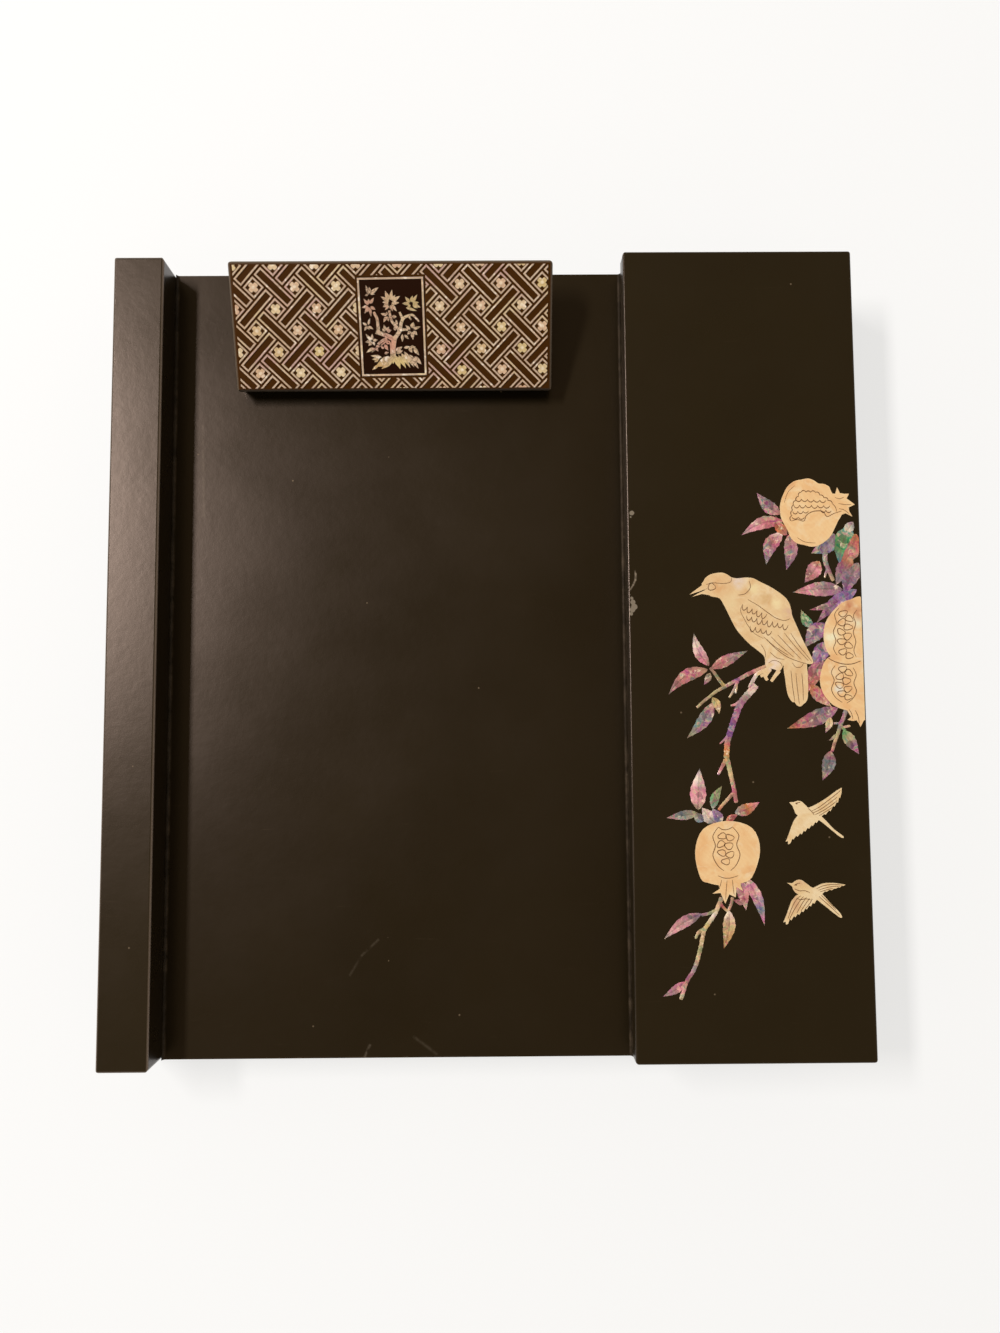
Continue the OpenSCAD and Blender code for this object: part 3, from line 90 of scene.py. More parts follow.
# Materials
class Tree:
    """Shorthand for building one procedural material."""

    def __init__(self, name):
        self.mat = bpy.data.materials.new(name)
        self.mat.use_nodes = True
        self.tree = self.mat.node_tree
        self.tree.nodes.clear()
        out = self.add("ShaderNodeOutputMaterial")
        self.bsdf = self.add("ShaderNodeBsdfPrincipled")
        self.tree.links.new(self.bsdf.outputs[0], out.inputs[0])
        where = self.add("ShaderNodeTexCoord")
        self.pos = where.outputs["Object"]
        self.normal = where.outputs["Normal"]

    def put(self, socket, value):
        """Links a socket to another, or sets its value."""
        if isinstance(value, bpy.types.NodeSocket):
            self.tree.links.new(value, socket)
        else:
            socket.default_value = value

    def add(self, kind, settings=None, **inputs):
        n = self.tree.nodes.new(kind)
        for key, value in (settings or {}).items():
            setattr(n, key, value)
        for key, value in inputs.items():
            self.put(n.inputs[int(key[1:])] if key[1:].isdigit() else n.inputs[key.replace("_", " ")], value)
        return n

    def set(self, **inputs):
        """Sets inputs of the surface shader."""
        for key, value in inputs.items():
            self.put(self.bsdf.inputs[key.replace("_", " ")], value)

    def math(self, op, a, b=0.0):
        return self.add("ShaderNodeMath", {"operation": op}, i0=a, i1=b).outputs[0]

    def vec(self, op, a, b=(0.0, 0.0, 0.0)):
        """Vector maths: a number for a distance or a dot product, else a vector."""
        n = self.add("ShaderNodeVectorMath", {"operation": op}, i0=a, i1=b)
        return n.outputs["Value" if op in ("DISTANCE", "DOT_PRODUCT") else "Vector"]

    def parts(self, vector):
        """The x, y and z of a vector."""
        return self.add("ShaderNodeSeparateXYZ", None, Vector=vector).outputs

    def cells(self, scale):
        """Scattered cells: the distance to a cell's point, and the cell's random numbers."""
        n = self.add("ShaderNodeTexVoronoi", None, Vector=self.pos, Scale=scale)
        return n.outputs["Distance"], self.add("ShaderNodeSeparateColor", None, Color=n.outputs["Color"]).outputs

    def stretch(self, x, y, z):
        return self.add("ShaderNodeMapping", None, Vector=self.pos, Scale=(x, y, z)).outputs[0]

    def noise(self, scale, detail=3.0, rough=0.5, vec=None, warp=0.0):
        return self.add("ShaderNodeTexNoise", None, Vector=vec or self.pos, Scale=scale, Detail=detail,
                        Roughness=rough, Distortion=warp).outputs["Fac"]

    def span(self, fac, low, high, out_low=0.0, out_high=1.0):
        return self.add("ShaderNodeMapRange", None, i0=fac, i1=low, i2=high, i3=out_low, i4=out_high).outputs[0]

    def mix(self, fac, a, b, mode="MIX"):
        n = self.add("ShaderNodeMix", {"data_type": "RGBA", "blend_type": mode}, i0=fac, i6=a, i7=b)
        return n.outputs[2]

    def ramp(self, fac, stops):
        n = self.add("ShaderNodeValToRGB", None, Fac=fac)
        while len(n.color_ramp.elements) < len(stops):
            n.color_ramp.elements.new(0.5)
        for e, (at, colour) in zip(n.color_ramp.elements, stops):
            e.position = at
            e.color = colour
        return n.outputs[0]

    def near(self, point, inner, outer):
        """1 within inner of a point, falling to 0 at outer, all in millimetres."""
        d = self.vec("DISTANCE", self.pos, [c * MM for c in point])
        return self.span(d, inner * MM, outer * MM, 1.0, 0.0)

    def scratch(self, a, b, half):
        """1 on a line between two points in plan, in millimetres, falling to 0 at half its width."""
        run = Vector((b[0] - a[0], b[1] - a[1], 0.0)) * MM
        flat = self.vec("MULTIPLY", self.pos, (1.0, 1.0, 0.0))
        rel = self.vec("SUBTRACT", flat, (a[0] * MM, a[1] * MM, 0.0))
        along = self.vec("DOT_PRODUCT", rel, run / run.length_squared)
        foot = self.add("ShaderNodeVectorMath", {"operation": "SCALE"}, i0=run,
                        Scale=self.span(along, 0.0, 1.0)).outputs[0]
        return self.span(self.vec("DISTANCE", rel, foot), 0.0, half * MM, 1.0, 0.0)

    def bump(self, height, distance, strength=1.0, under=None):
        n = self.add("ShaderNodeBump", None, Height=height, Distance=distance, Strength=strength)
        if under is not None:
            self.put(n.inputs["Normal"], under)
        return n.outputs[0]

    def edge(self, radius):
        """Near 1 on sharp convex edges."""
        soft = self.add("ShaderNodeBevel", {"samples": 4}, Radius=radius).outputs[0]
        flat = self.add("ShaderNodeNewGeometry").outputs["Normal"]
        return self.span(self.vec("DOT_PRODUCT", soft, flat), 0.985, 0.8)


# Where the clip plate and its lattice lie
CLIP_TILT = math.radians(21.6)
CLIP_PIN = (-25.15 * MM, 94.4 * MM, 21.8 * MM)
PLATE_MID = (0.0, -1.3 * MM, 9.7 * MM)
LATTICE_TURN = math.radians(0.75)
LATTICE_STEP = 7.955 * MM
LATTICE_MID = (-3.6 * MM, -0.4 * MM, 0.0)


def on_plate(t):
    """Positions in the plane of the clip plate's top, from its middle."""
    level = t.add("ShaderNodeMapping", {"vector_type": "TEXTURE"}, Vector=t.pos, Location=CLIP_PIN,
                  Rotation=(CLIP_TILT, 0.0, 0.0)).outputs[0]
    return t.vec("SUBTRACT", level, PLATE_MID)


# Heights of the lid's top and of its shells, in millimetres
LID_Z, SHELL_Z = 29.5, 29.75

# Tones of the lacquer
DARK = srgb(24, 19, 6)
LIGHT = srgb(31, 25, 9)
WORN = srgb(92, 78, 62)
DUST = srgb(128, 112, 92)
CHIPPED = srgb(140, 130, 116)
SCRATCHED = srgb(150, 138, 122)
# Painted shade for side faces, and a darker painted shade for faces that look to the front
SIDE_SHADE = srgb(27, 20, 8)
FRONT_SHADE = srgb(12, 8, 4)
GLOSS_TINT = (1.0, 0.78, 0.68, 1.0)


def lacquer(name, dark, light, chips=(), scratches=(), rim=None, face=(0.0, 0.0, 1.0),
            rough=(0.25, 0.33), gloss=0.54, tile=None, ends=None):
    """Satin lacquer over wood: cloudy, faintly pitted, with dust, hairlines and rubbed edges.

    A rim colour, where given, is a painted highlight on the rounded edges around the top face, which looks along face;
    with it, the side faces get a painted shade and the faces that look to the front a darker painted shade. A tile,
    where given, is a darker field of the clip plate: its middle and half its size in millimetres, and its colour.
    An ends colour, where given, is a painted reflection on the faces that look to the front and back.
    """
    t = Tree(name)
    cloud = t.noise(38.0, 4.0, 0.55)
    colour = t.mix(cloud, dark, light)
    hair = t.noise(90.0, 6.0, 0.7, t.stretch(0.6, 9.0, 6.0), 0.4)
    hairline = t.span(hair, 0.66, 0.76)
    colour = t.mix(t.math("MULTIPLY", hairline, 0.16), colour, WORN)
    off, pick = t.cells(150.0)
    dust = t.math("MULTIPLY", t.span(off, 0.045, 0.03), t.math("GREATER_THAN", pick[0], 0.7))
    colour = t.mix(t.math("MULTIPLY", dust, 0.55), colour, DUST)
    rub = t.math("MULTIPLY", t.edge(0.0009), t.span(t.noise(160.0, 5.0, 0.7), 0.42, 0.7))
    colour = t.mix(t.math("MULTIPLY", rub, 0.55), colour, WORN)
    if rim is not None:
        up = t.vec("DOT_PRODUCT", t.normal, face)
        # Painted shade on the side faces
        colour = t.mix(t.span(up, 0.4, 0.15), colour, SIDE_SHADE)
        # Painted highlight on the rounded edges around the top face
        turned = t.math("MULTIPLY", t.span(up, 0.985, 0.8), t.span(up, 0.1, 0.35))
        colour = t.mix(t.math("MULTIPLY", turned, 0.85), colour, rim)
        # Darker painted shade on the faces that look to the front
        colour = t.mix(t.span(t.parts(t.normal)[1], -0.5, -0.75, 0.0, 0.7), colour, FRONT_SHADE)
    # Painted reflection on the faces that look to the front and back
    if ends is not None:
        colour = t.mix(t.span(t.math("ABSOLUTE", t.parts(t.normal)[1]), 0.6, 0.9), colour, ends)
    if tile is not None:
        x, y, half_x, half_y, tone = tile
        off = t.parts(t.vec("ABSOLUTE", t.vec("SUBTRACT", on_plate(t), (x * MM, y * MM, 0.0))))
        field = t.math("MULTIPLY", t.math("LESS_THAN", off[0], half_x * MM), t.math("LESS_THAN", off[1], half_y * MM))
        colour = t.mix(field, colour, tone)
    bare = None
    for x, y, inner, outer in chips:
        spot = t.near((x, y, LID_Z), inner, outer)
        bare = spot if bare is None else t.math("MAXIMUM", bare, spot)
    if bare is not None:
        ragged = t.span(t.math("ADD", bare, t.math("MULTIPLY", t.noise(900.0, 4.0, 0.7), 0.9)), 0.78, 0.95)
        ragged = t.math("MULTIPLY", ragged, t.math("GREATER_THAN", bare, 0.01))
        colour = t.mix(t.math("MULTIPLY", ragged, 0.85), colour, CHIPPED)
    for a, b, half, strength in scratches:
        line = t.math("MULTIPLY", t.scratch(a, b, half), t.span(t.noise(420.0, 3.0, 0.6), 0.36, 0.6))
        colour = t.mix(t.math("MULTIPLY", line, strength), colour, SCRATCHED)
    t.set(Base_Color=colour, Roughness=t.span(t.noise(24.0, 5.0, 0.6), 0.3, 0.7, *rough))
    peel = t.bump(t.noise(420.0, 3.0, 0.5), 0.00006, 0.35)
    t.set(Normal=t.bump(t.noise(2600.0, 2.0, 0.6), 0.00001, 0.5, peel))
    t.set(Specular_Tint=GLOSS_TINT, Specular_IOR_Level=gloss)
    return t.mat


PEARLY = srgb(248, 230, 196)
PAINTED_EDGE_HIGHLIGHT = srgb(250, 228, 186)


def cream_shell(name, warm, pale, blush, spots=()):
    """Pale mother-of-pearl: cloudy cream with growth bands, small pearly patches, tinted spots and a painted highlight
    along its edges.
    """
    t = Tree(name)
    cloud = t.noise(120.0, 3.0, 0.5, None, 0.8)
    colour = t.ramp(cloud, [(0.3, warm), (0.5, pale), (0.62, warm), (0.75, blush)])
    bands = t.add("ShaderNodeTexWave", {"wave_type": "BANDS", "bands_direction": "DIAGONAL"}, Vector=t.pos,
                  Scale=420.0, Distortion=9.0, Detail=3.0, Detail_Scale=0.6).outputs["Fac"]
    colour = t.mix(t.span(bands, 0.0, 1.0, 0.0, 0.12), colour, blush)
    pearly = t.span(t.noise(230.0, 3.0, 0.55, None, 1.2), 0.54, 0.68)
    colour = t.mix(t.math("MULTIPLY", pearly, 0.5), colour, PEARLY)
    # Painted highlight along the shell's edges
    colour = t.mix(t.math("MULTIPLY", t.edge(0.0006), 0.4), colour, PAINTED_EDGE_HIGHLIGHT)
    for x, y, r, tint in spots:
        mask = t.math("MULTIPLY", t.near((x, y, SHELL_Z), 0.25 * r, r), t.span(t.noise(500.0, 3.0), 0.3, 0.6))
        colour = t.mix(mask, colour, tint)
    t.set(Base_Color=colour, Roughness=t.span(cloud, 0.3, 0.7, 0.26, 0.42))
    t.set(Normal=t.bump(t.noise(700.0, 4.0, 0.6), 0.00004, 0.4))
    t.set(Coat_Weight=0.25, Coat_Roughness=0.18)
    return t.mat


def abalone(name):
    """Coloured shell: the tint painted on each piece, broken up by iridescent flecks, fine grain and painted glints.
    """
    t = Tree(name)
    tint = t.add("ShaderNodeAttribute", {"attribute_name": "tint"}).outputs["Color"]
    fleck = t.noise(420.0, 4.0, 0.62, None, 1.6)
    shine = t.ramp(fleck, [(0.3, srgb(96, 84, 132)), (0.42, srgb(196, 108, 150)), (0.5, srgb(222, 192, 162)),
                           (0.58, srgb(130, 168, 132)), (0.7, srgb(84, 112, 150))])
    colour = t.mix(0.22, tint, shine)
    cast = t.cells(620.0)[1]
    colour = t.mix(t.span(cast[0], 0.55, 0.95, 0.0, 0.55), colour, shine)
    colour = t.mix(t.span(cast[1], 0.5, 1.0, 0.0, 0.5), colour, srgb(112, 98, 116), "MULTIPLY")
    grain = t.noise(1500.0, 4.0, 0.7, t.stretch(1.0, 0.35, 1.0))
    colour = t.mix(t.span(grain, 0.35, 0.75, 0.0, 0.42), colour, srgb(66, 50, 60), "MULTIPLY")
    # Painted glints: pale flecks standing in for sparkle off the shell
    glint = t.span(t.noise(450.0, 4.0, 0.7), 0.59, 0.72)
    colour = t.mix(t.math("MULTIPLY", glint, 0.7), colour, srgb(246, 230, 208))
    colour = t.add("ShaderNodeHueSaturation", None, Saturation=1.12, Value=1.34, Color=colour).outputs[0]
    t.set(Base_Color=colour, Roughness=t.span(grain, 0.3, 0.7, 0.2, 0.4))
    t.set(Normal=t.bump(grain, 0.00004, 0.5))
    t.set(Coat_Weight=0.3, Coat_Roughness=0.15)
    return t.mat


def flower_cells(t):
    """The nearest flower of the clip plate's lattice, and the distance to its middle, both in lattice steps."""
    turned = t.add("ShaderNodeMapping", {"vector_type": "TEXTURE"}, Vector=on_plate(t), Location=LATTICE_MID,
                   Rotation=(0.0, 0.0, LATTICE_TURN + math.radians(45))).outputs[0]
    flat = t.vec("MULTIPLY", turned, (1 / LATTICE_STEP, 1 / LATTICE_STEP, 0.0))
    cell = t.vec("FLOOR", t.vec("ADD", flat, (0.5, 0.5, 0.5)))
    return cell, t.vec("DISTANCE", flat, cell)


def line_shell(name, warm, pale, odd, flowers=False, casts=()):
    """Thin strips of shell, each stretch with its own cast, with brighter flowers where asked and painted glints.

    casts are tints around points of the clip plate, in millimetres from its middle. Shell that has them is cracked.
    """
    t = Tree(name)
    cast = t.cells(210.0)[1]
    colour = t.ramp(cast[0], [(0.05, odd), (0.25, warm), (0.65, pale), (0.9, warm)])
    colour = t.mix(t.span(cast[1], 0.7, 0.98, 0.0, 0.4), colour, srgb(222, 202, 152))
    if casts:
        cracks = t.add("ShaderNodeTexVoronoi", {"feature": "DISTANCE_TO_EDGE"}, Vector=t.pos,
                       Scale=760.0).outputs["Distance"]
        colour = t.mix(t.span(cracks, 0.09, 0.03, 0.0, 0.6), colour, srgb(70, 40, 28))
    if flowers:
        cell, off = flower_cells(t)
        pick = t.add("ShaderNodeTexWhiteNoise", None, Vector=cell).outputs["Value"]
        bloom = t.ramp(pick, [(0.1, srgb(222, 190, 160)), (0.35, srgb(230, 208, 172)), (0.6, srgb(220, 196, 142)),
                              (0.9, srgb(214, 178, 150))])
        colour = t.mix(t.span(off, 0.2, 0.17), colour, bloom)
        colour = t.mix(t.span(off, 0.07, 0.045, 0.0, 0.6), colour, srgb(250, 240, 222))
    for x, y, r, tint in casts:
        off = t.vec("DISTANCE", on_plate(t), (x * MM, y * MM, 0.0))
        colour = t.mix(t.span(off, 0.4 * r * MM, r * MM, 0.75, 0.0), colour, tint)
    flick = t.noise(1300.0, 3.0, 0.7)
    colour = t.mix(t.span(flick, 0.42, 0.78, 0.0, 0.4), colour, srgb(126, 92, 70), "MULTIPLY")
    # Painted glints: pale flecks standing in for sparkle off the shell
    glint = t.span(t.noise(640.0, 2.0, 0.5), 0.62, 0.7)
    colour = t.mix(t.math("MULTIPLY", glint, 0.75), colour, srgb(252, 240, 226))
    t.set(Base_Color=colour, Roughness=t.span(flick, 0.3, 0.7, 0.25, 0.42), Normal=t.bump(flick, 0.00003, 0.5))
    t.set(Coat_Weight=0.3, Coat_Roughness=0.16)
    return t.mat


def metal(name, bright, dull, rough):
    """Plated sheet and wire: brushed, with dull patches and bright corners."""
    t = Tree(name)
    brush = t.noise(900.0, 4.0, 0.6, t.stretch(0.12, 1.0, 1.0))
    patch = t.noise(260.0, 4.0, 0.6)
    colour = t.mix(t.span(patch, 0.4, 0.7), bright, dull)
    colour = t.mix(t.math("MULTIPLY", t.edge(0.0002), 0.35), colour, bright)
    t.set(Base_Color=colour, Metallic=1.0, Roughness=t.span(brush, 0.3, 0.7, *rough))
    t.set(Normal=t.bump(brush, 0.00001, 0.4))
    return t.mat


def felt(name, deep, light):
    """Pressed wool felt: matted fibres, pills and pale hairs."""
    t = Tree(name)
    mat_noise = t.noise(900.0, 6.0, 0.75, None, 1.2)
    fibre = t.noise(2600.0, 3.0, 0.6, t.stretch(1.0, 0.3, 1.0), 2.0)
    colour = t.mix(mat_noise, deep, light)
    colour = t.mix(t.span(fibre, 0.6, 0.75, 0.0, 0.5), colour, light)
    t.set(Base_Color=colour, Roughness=0.95, Specular_IOR_Level=0.2, Sheen_Weight=0.3, Sheen_Roughness=0.6)
    t.set(Normal=t.bump(fibre, 0.00012, 0.6, t.bump(mat_noise, 0.0003, 0.7)))
    return t.mat


# Materials of the pieces, with marks placed in millimetres: chips as x, y, inner and outer radius, scratches as two
# points, half width and strength, spots and casts as x, y, radius and tint
EDGE_CHIPS = [(40.2, 37.4, 0.3, 0.9), (39.9, 36.3, 0.1, 0.4), (39.8, 14.0, 0.2, 0.6), (40.1, 12.9, 0.4, 0.9),
              (40.5, 11.6, 0.5, 1.1), (40.0, 10.8, 0.4, 1.0), (39.6, 9.7, 0.2, 0.7)]
EDGE_SCRATCHES = [((40.6, 22.0), (41.0, 20.6), 0.34, 0.9), ((41.0, 20.6), (40.9, 19.0), 0.4, 1.0),
                  ((40.9, 19.0), (40.3, 17.6), 0.36, 0.9), ((40.3, 17.6), (39.5, 16.4), 0.34, 0.8)]
PANEL_SCRATCHES = [((-30.0, -78.8), (-34.6, -83.0), 0.5, 0.11), ((-34.6, -83.0), (-37.7, -88.2), 0.5, 0.08),
                   ((-33.6, -110.2), (-32.2, -107.0), 0.5, 0.45), ((-20.0, -105.0), (-14.0, -109.5), 0.6, 0.1),
                   ((-80.6, 66.0), (-79.8, 40.0), 0.6, 0.13)]
body_lacquer = lacquer("body_lacquer", DARK, LIGHT)
# The fillets and inner wall carry a painted reflection on their front and back end faces
fillet_lacquer = lacquer("fillet_lacquer", srgb(20, 15, 5), srgb(26, 20, 7), rough=(0.5, 0.6), gloss=0.2,
                         ends=srgb(54, 48, 36))
panel_lacquer = lacquer("panel_lacquer", srgb(20, 15, 4), srgb(27, 21, 6), scratches=PANEL_SCRATCHES)
lid_lacquer = lacquer("lid_lacquer", DARK, LIGHT, EDGE_CHIPS, EDGE_SCRATCHES)
# The rail and the clip plate get a painted highlight on their rounded rims and painted shade on their side and front
# faces
rail_lacquer = lacquer("rail_lacquer", DARK, LIGHT, rim=srgb(112, 98, 86))
clip_lacquer = lacquer("clip_lacquer", srgb(58, 32, 5), srgb(70, 40, 8), rim=srgb(100, 90, 78),
                       face=(0.0, -math.sin(CLIP_TILT), math.cos(CLIP_TILT)), gloss=0.2,
                       tile=(0.0, 0.0, 9.2, 13.0, srgb(30, 9, 2)))
SHELL_SPOTS = [(77.6, -4.4, 2.4, srgb(246, 226, 216)), (69.0, 18.2, 2.6, srgb(236, 218, 206)),
               (79.2, 12.4, 2.2, srgb(248, 228, 180)), (93.6, 3.0, 3.2, srgb(250, 244, 210)),
               (100.6, 7.2, 2.2, srgb(242, 236, 206)), (95.2, -11.2, 1.6, srgb(236, 236, 226)),
               (82.0, 9.6, 1.8, srgb(222, 184, 162)),
               (98.4, 11.0, 3.4, srgb(208, 142, 106)), (101.4, 9.4, 2.6, srgb(216, 160, 122)),
               (63.4, 17.0, 4.2, srgb(228, 182, 132)), (66.4, 12.4, 3.6, srgb(238, 212, 166)),
               (72.9, 16.3, 2.2, srgb(245, 224, 176)), (76.0, 13.6, 2.2, srgb(220, 183, 132))]
bird_shell = cream_shell("bird_shell", srgb(230, 192, 144), srgb(241, 212, 167), srgb(217, 173, 127), SHELL_SPOTS)
fruit_shell = cream_shell("fruit_shell", srgb(242, 194, 140), srgb(249, 213, 162), srgb(228, 176, 126), SHELL_SPOTS)
flyer_shell = cream_shell("flyer_shell", srgb(236, 204, 154), srgb(246, 224, 184), srgb(222, 180, 140))
leaf_shell = abalone("leaf_shell")
lattice_shell = line_shell("lattice_shell", srgb(200, 174, 152), srgb(212, 190, 168), srgb(202, 168, 158), True)
TREE_CASTS = [(1.5, -10.4, 4.0, srgb(228, 206, 138)), (-4.0, -10.8, 3.0, srgb(214, 178, 120)),
              (-0.6, -4.6, 2.8, srgb(218, 160, 140)), (5.6, 6.4, 3.2, srgb(198, 176, 122)),
              (-5.8, 5.6, 3.2, srgb(206, 160, 140)), (0.0, 7.4, 2.6, srgb(214, 186, 150))]
tree_shell = line_shell("tree_shell", srgb(202, 174, 150), srgb(218, 192, 164), srgb(206, 158, 144), False, TREE_CASTS)
brass = metal("brass", srgb(206, 172, 104), srgb(150, 116, 62), (0.25, 0.45))
steel = metal("steel", srgb(190, 190, 188), srgb(136, 134, 130), (0.25, 0.42))
spring_steel = metal("spring_steel", srgb(150, 152, 156), srgb(92, 92, 94), (0.22, 0.36))
base_felt = felt("base_felt", srgb(34, 30, 28), srgb(58, 52, 48))
lining_felt = felt("lining_felt", srgb(66, 16, 20), srgb(112, 34, 38))

# What each node is finished with, and how far the edges of plain boards are eased, in millimetres
FINISH = {
    body_lacquer: ["bottom_board", "panel_battens", "front_fascia", "back_fascia",
                   "box_outer_wall", "box_front_wall", "box_back_wall"],
    rail_lacquer: ["left_rail"],
    fillet_lacquer: ["panel_fillets", "box_inner_wall"],
    panel_lacquer: ["writing_panel"],
    lid_lacquer: ["lid"],
    clip_lacquer: ["clip_plate"],
    bird_shell: ["inlay_large_bird"],
    fruit_shell: ["inlay_pomegranates"],
    flyer_shell: ["inlay_small_birds"],
    lattice_shell: ["clip_lattice", "clip_tile_frame"],
    tree_shell: ["clip_tile_tree"],
    brass: ["hinge_box_leaves", "hinge_lid_leaves", "hinge_pins", "hinge_box_screws", "hinge_lid_screws",
            "clip_base_screws", "clip_bracket_screws"],
    steel: ["clip_base", "clip_bracket", "clip_pin"],
    spring_steel: ["clip_spring"],
}
EASED = {"bottom_board": 0.5, "front_fascia": 0.3, "back_fascia": 0.3, "box_inner_wall": 0.4, "box_outer_wall": 0.3,
         "box_front_wall": 0.4, "box_back_wall": 0.4, "panel_battens": 0.3, "clip_base": 0.12, "clip_bracket": 0.12}
for material, names in FINISH.items():
    for n in names:
        ob = nodes[n]
        ob.data.materials.clear()
        ob.data.materials.append(material)
        for p in ob.data.polygons:
            p.use_smooth = True
        if n in EASED:
            ease = ob.modifiers.new("eased_edges", "BEVEL")
            ease.width = EASED[n] * MM
            ease.segments = 2
            ease.limit_method = "ANGLE"
            ease.angle_limit = math.radians(40)
        split = ob.modifiers.new("crisp_edges", "EDGE_SPLIT")
        split.split_angle = math.radians(35)


def mesh_piece(name, verts, faces, material, body):
    """A new smooth piece of one material, on a body."""
    me = bpy.data.meshes.new(name)
    me.from_pydata(verts, [], faces)
    me.update()
    for p in me.polygons:
        p.use_smooth = True
    me.materials.append(material)
    ob = new_object(name, me)
    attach(ob, body)
    return ob


# Clip spring, whose lower leg lies on the base and whose upper leg sits under the bracket: a copy of its mesh, in
# place of the node
spring_ob = new_object("spring_wire", nodes["clip_spring"].data.copy())
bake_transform(spring_ob)
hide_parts("clip_spring")


# Felt: grid lines at its rim and the width of its soft arris, in metres, and how far its edge strays, as a share
FELT_RIM = [0.0, 0.0002, 0.0005, 0.001]
FELT_ARRIS = 0.0006
FELT_FRAY = 0.0006


def steps(low, high, fine, pitch):
    """Grid lines from low to high, close together at both ends."""
    n = max(2, round((high - low - 2 * fine[-1]) / pitch))
    mid = [low + fine[-1] + (high - low - 2 * fine[-1]) * i / n for i in range(n + 1)]
    return [low + f for f in fine[:-1]] + mid + [high - f for f in reversed(fine[:-1])]


def felt_slab(name, node, corner, material, body, nap, pitch):
    """A closed felt sheet in a node's box, with rounded corners, soft arrises and a matted face."""
    lo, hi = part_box(node)
    cx, cy = (lo.x + hi.x) / 2, (lo.y + hi.y) / 2
    hx, hy = (hi.x - lo.x) / 2, (hi.y - lo.y) / 2
    xs, ys = steps(-hx, hx, FELT_RIM, pitch), steps(-hy, hy, FELT_RIM, pitch)
    thick = hi.z - lo.z

    def place(x, y):
        """Draws a point of the square grid in to the rounded corners."""
        dx, dy = abs(x) - (hx - corner), abs(y) - (hy - corner)
        if dx > 0 and dy > 0:
            k = max(dx, dy) / math.hypot(dx, dy)
            x = math.copysign(hx - corner + dx * k, x)
            y = math.copysign(hy - corner + dy * k, y)
        return x, y

    verts, faces = [], []
    nx, ny = len(xs), len(ys)
    for top in (True, False):
        for y in ys:
            for x in xs:
                rim = min(hx - abs(x), hy - abs(y))
                px, py = place(x, y)
                drop = 0.3 * thick * max(0.0, 1 - rim / FELT_ARRIS) ** 2
                lump = nap * (0.5 + 0.5 * noise.noise(Vector((px, py, 0.3)) * 700)) if rim > 0.0004 else 0.0
                pull = 1 - FELT_FRAY * noise.noise(Vector((px, py, 1.7)) * 220) if rim < 0.0001 else 1.0
                z = hi.z - drop - lump if top else lo.z + drop
                verts.append((cx + px * min(1.0, pull), cy + py * min(1.0, pull), z))
    half = nx * ny
    for j in range(ny - 1):
        for i in range(nx - 1):
            a = j * nx + i
            faces.append((a, a + 1, a + nx + 1, a + nx))
            faces.append((half + a, half + a + nx, half + a + nx + 1, half + a + 1))
    border = list(range(nx)) + [j * nx + nx - 1 for j in range(1, ny)]
    border += [(ny - 1) * nx + i for i in range(nx - 2, -1, -1)] + [j * nx for j in range(ny - 2, 0, -1)]
    for a, b in zip(border, border[1:] + border[:1]):
        faces.append((b, a, half + a, half + b))
    ob = mesh_piece(name, verts, faces, material, body)
    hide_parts(node)
    return ob, (2 * hx, 2 * hy)


under_felt, under_size = felt_slab("under_felt", "base_felt", 0.003, base_felt, "base", 0.00008, 0.004)
pen_felt, pen_size = felt_slab("pen_felt", "box_lining", 0.0006, lining_felt, "base", 0.00015, 0.002)


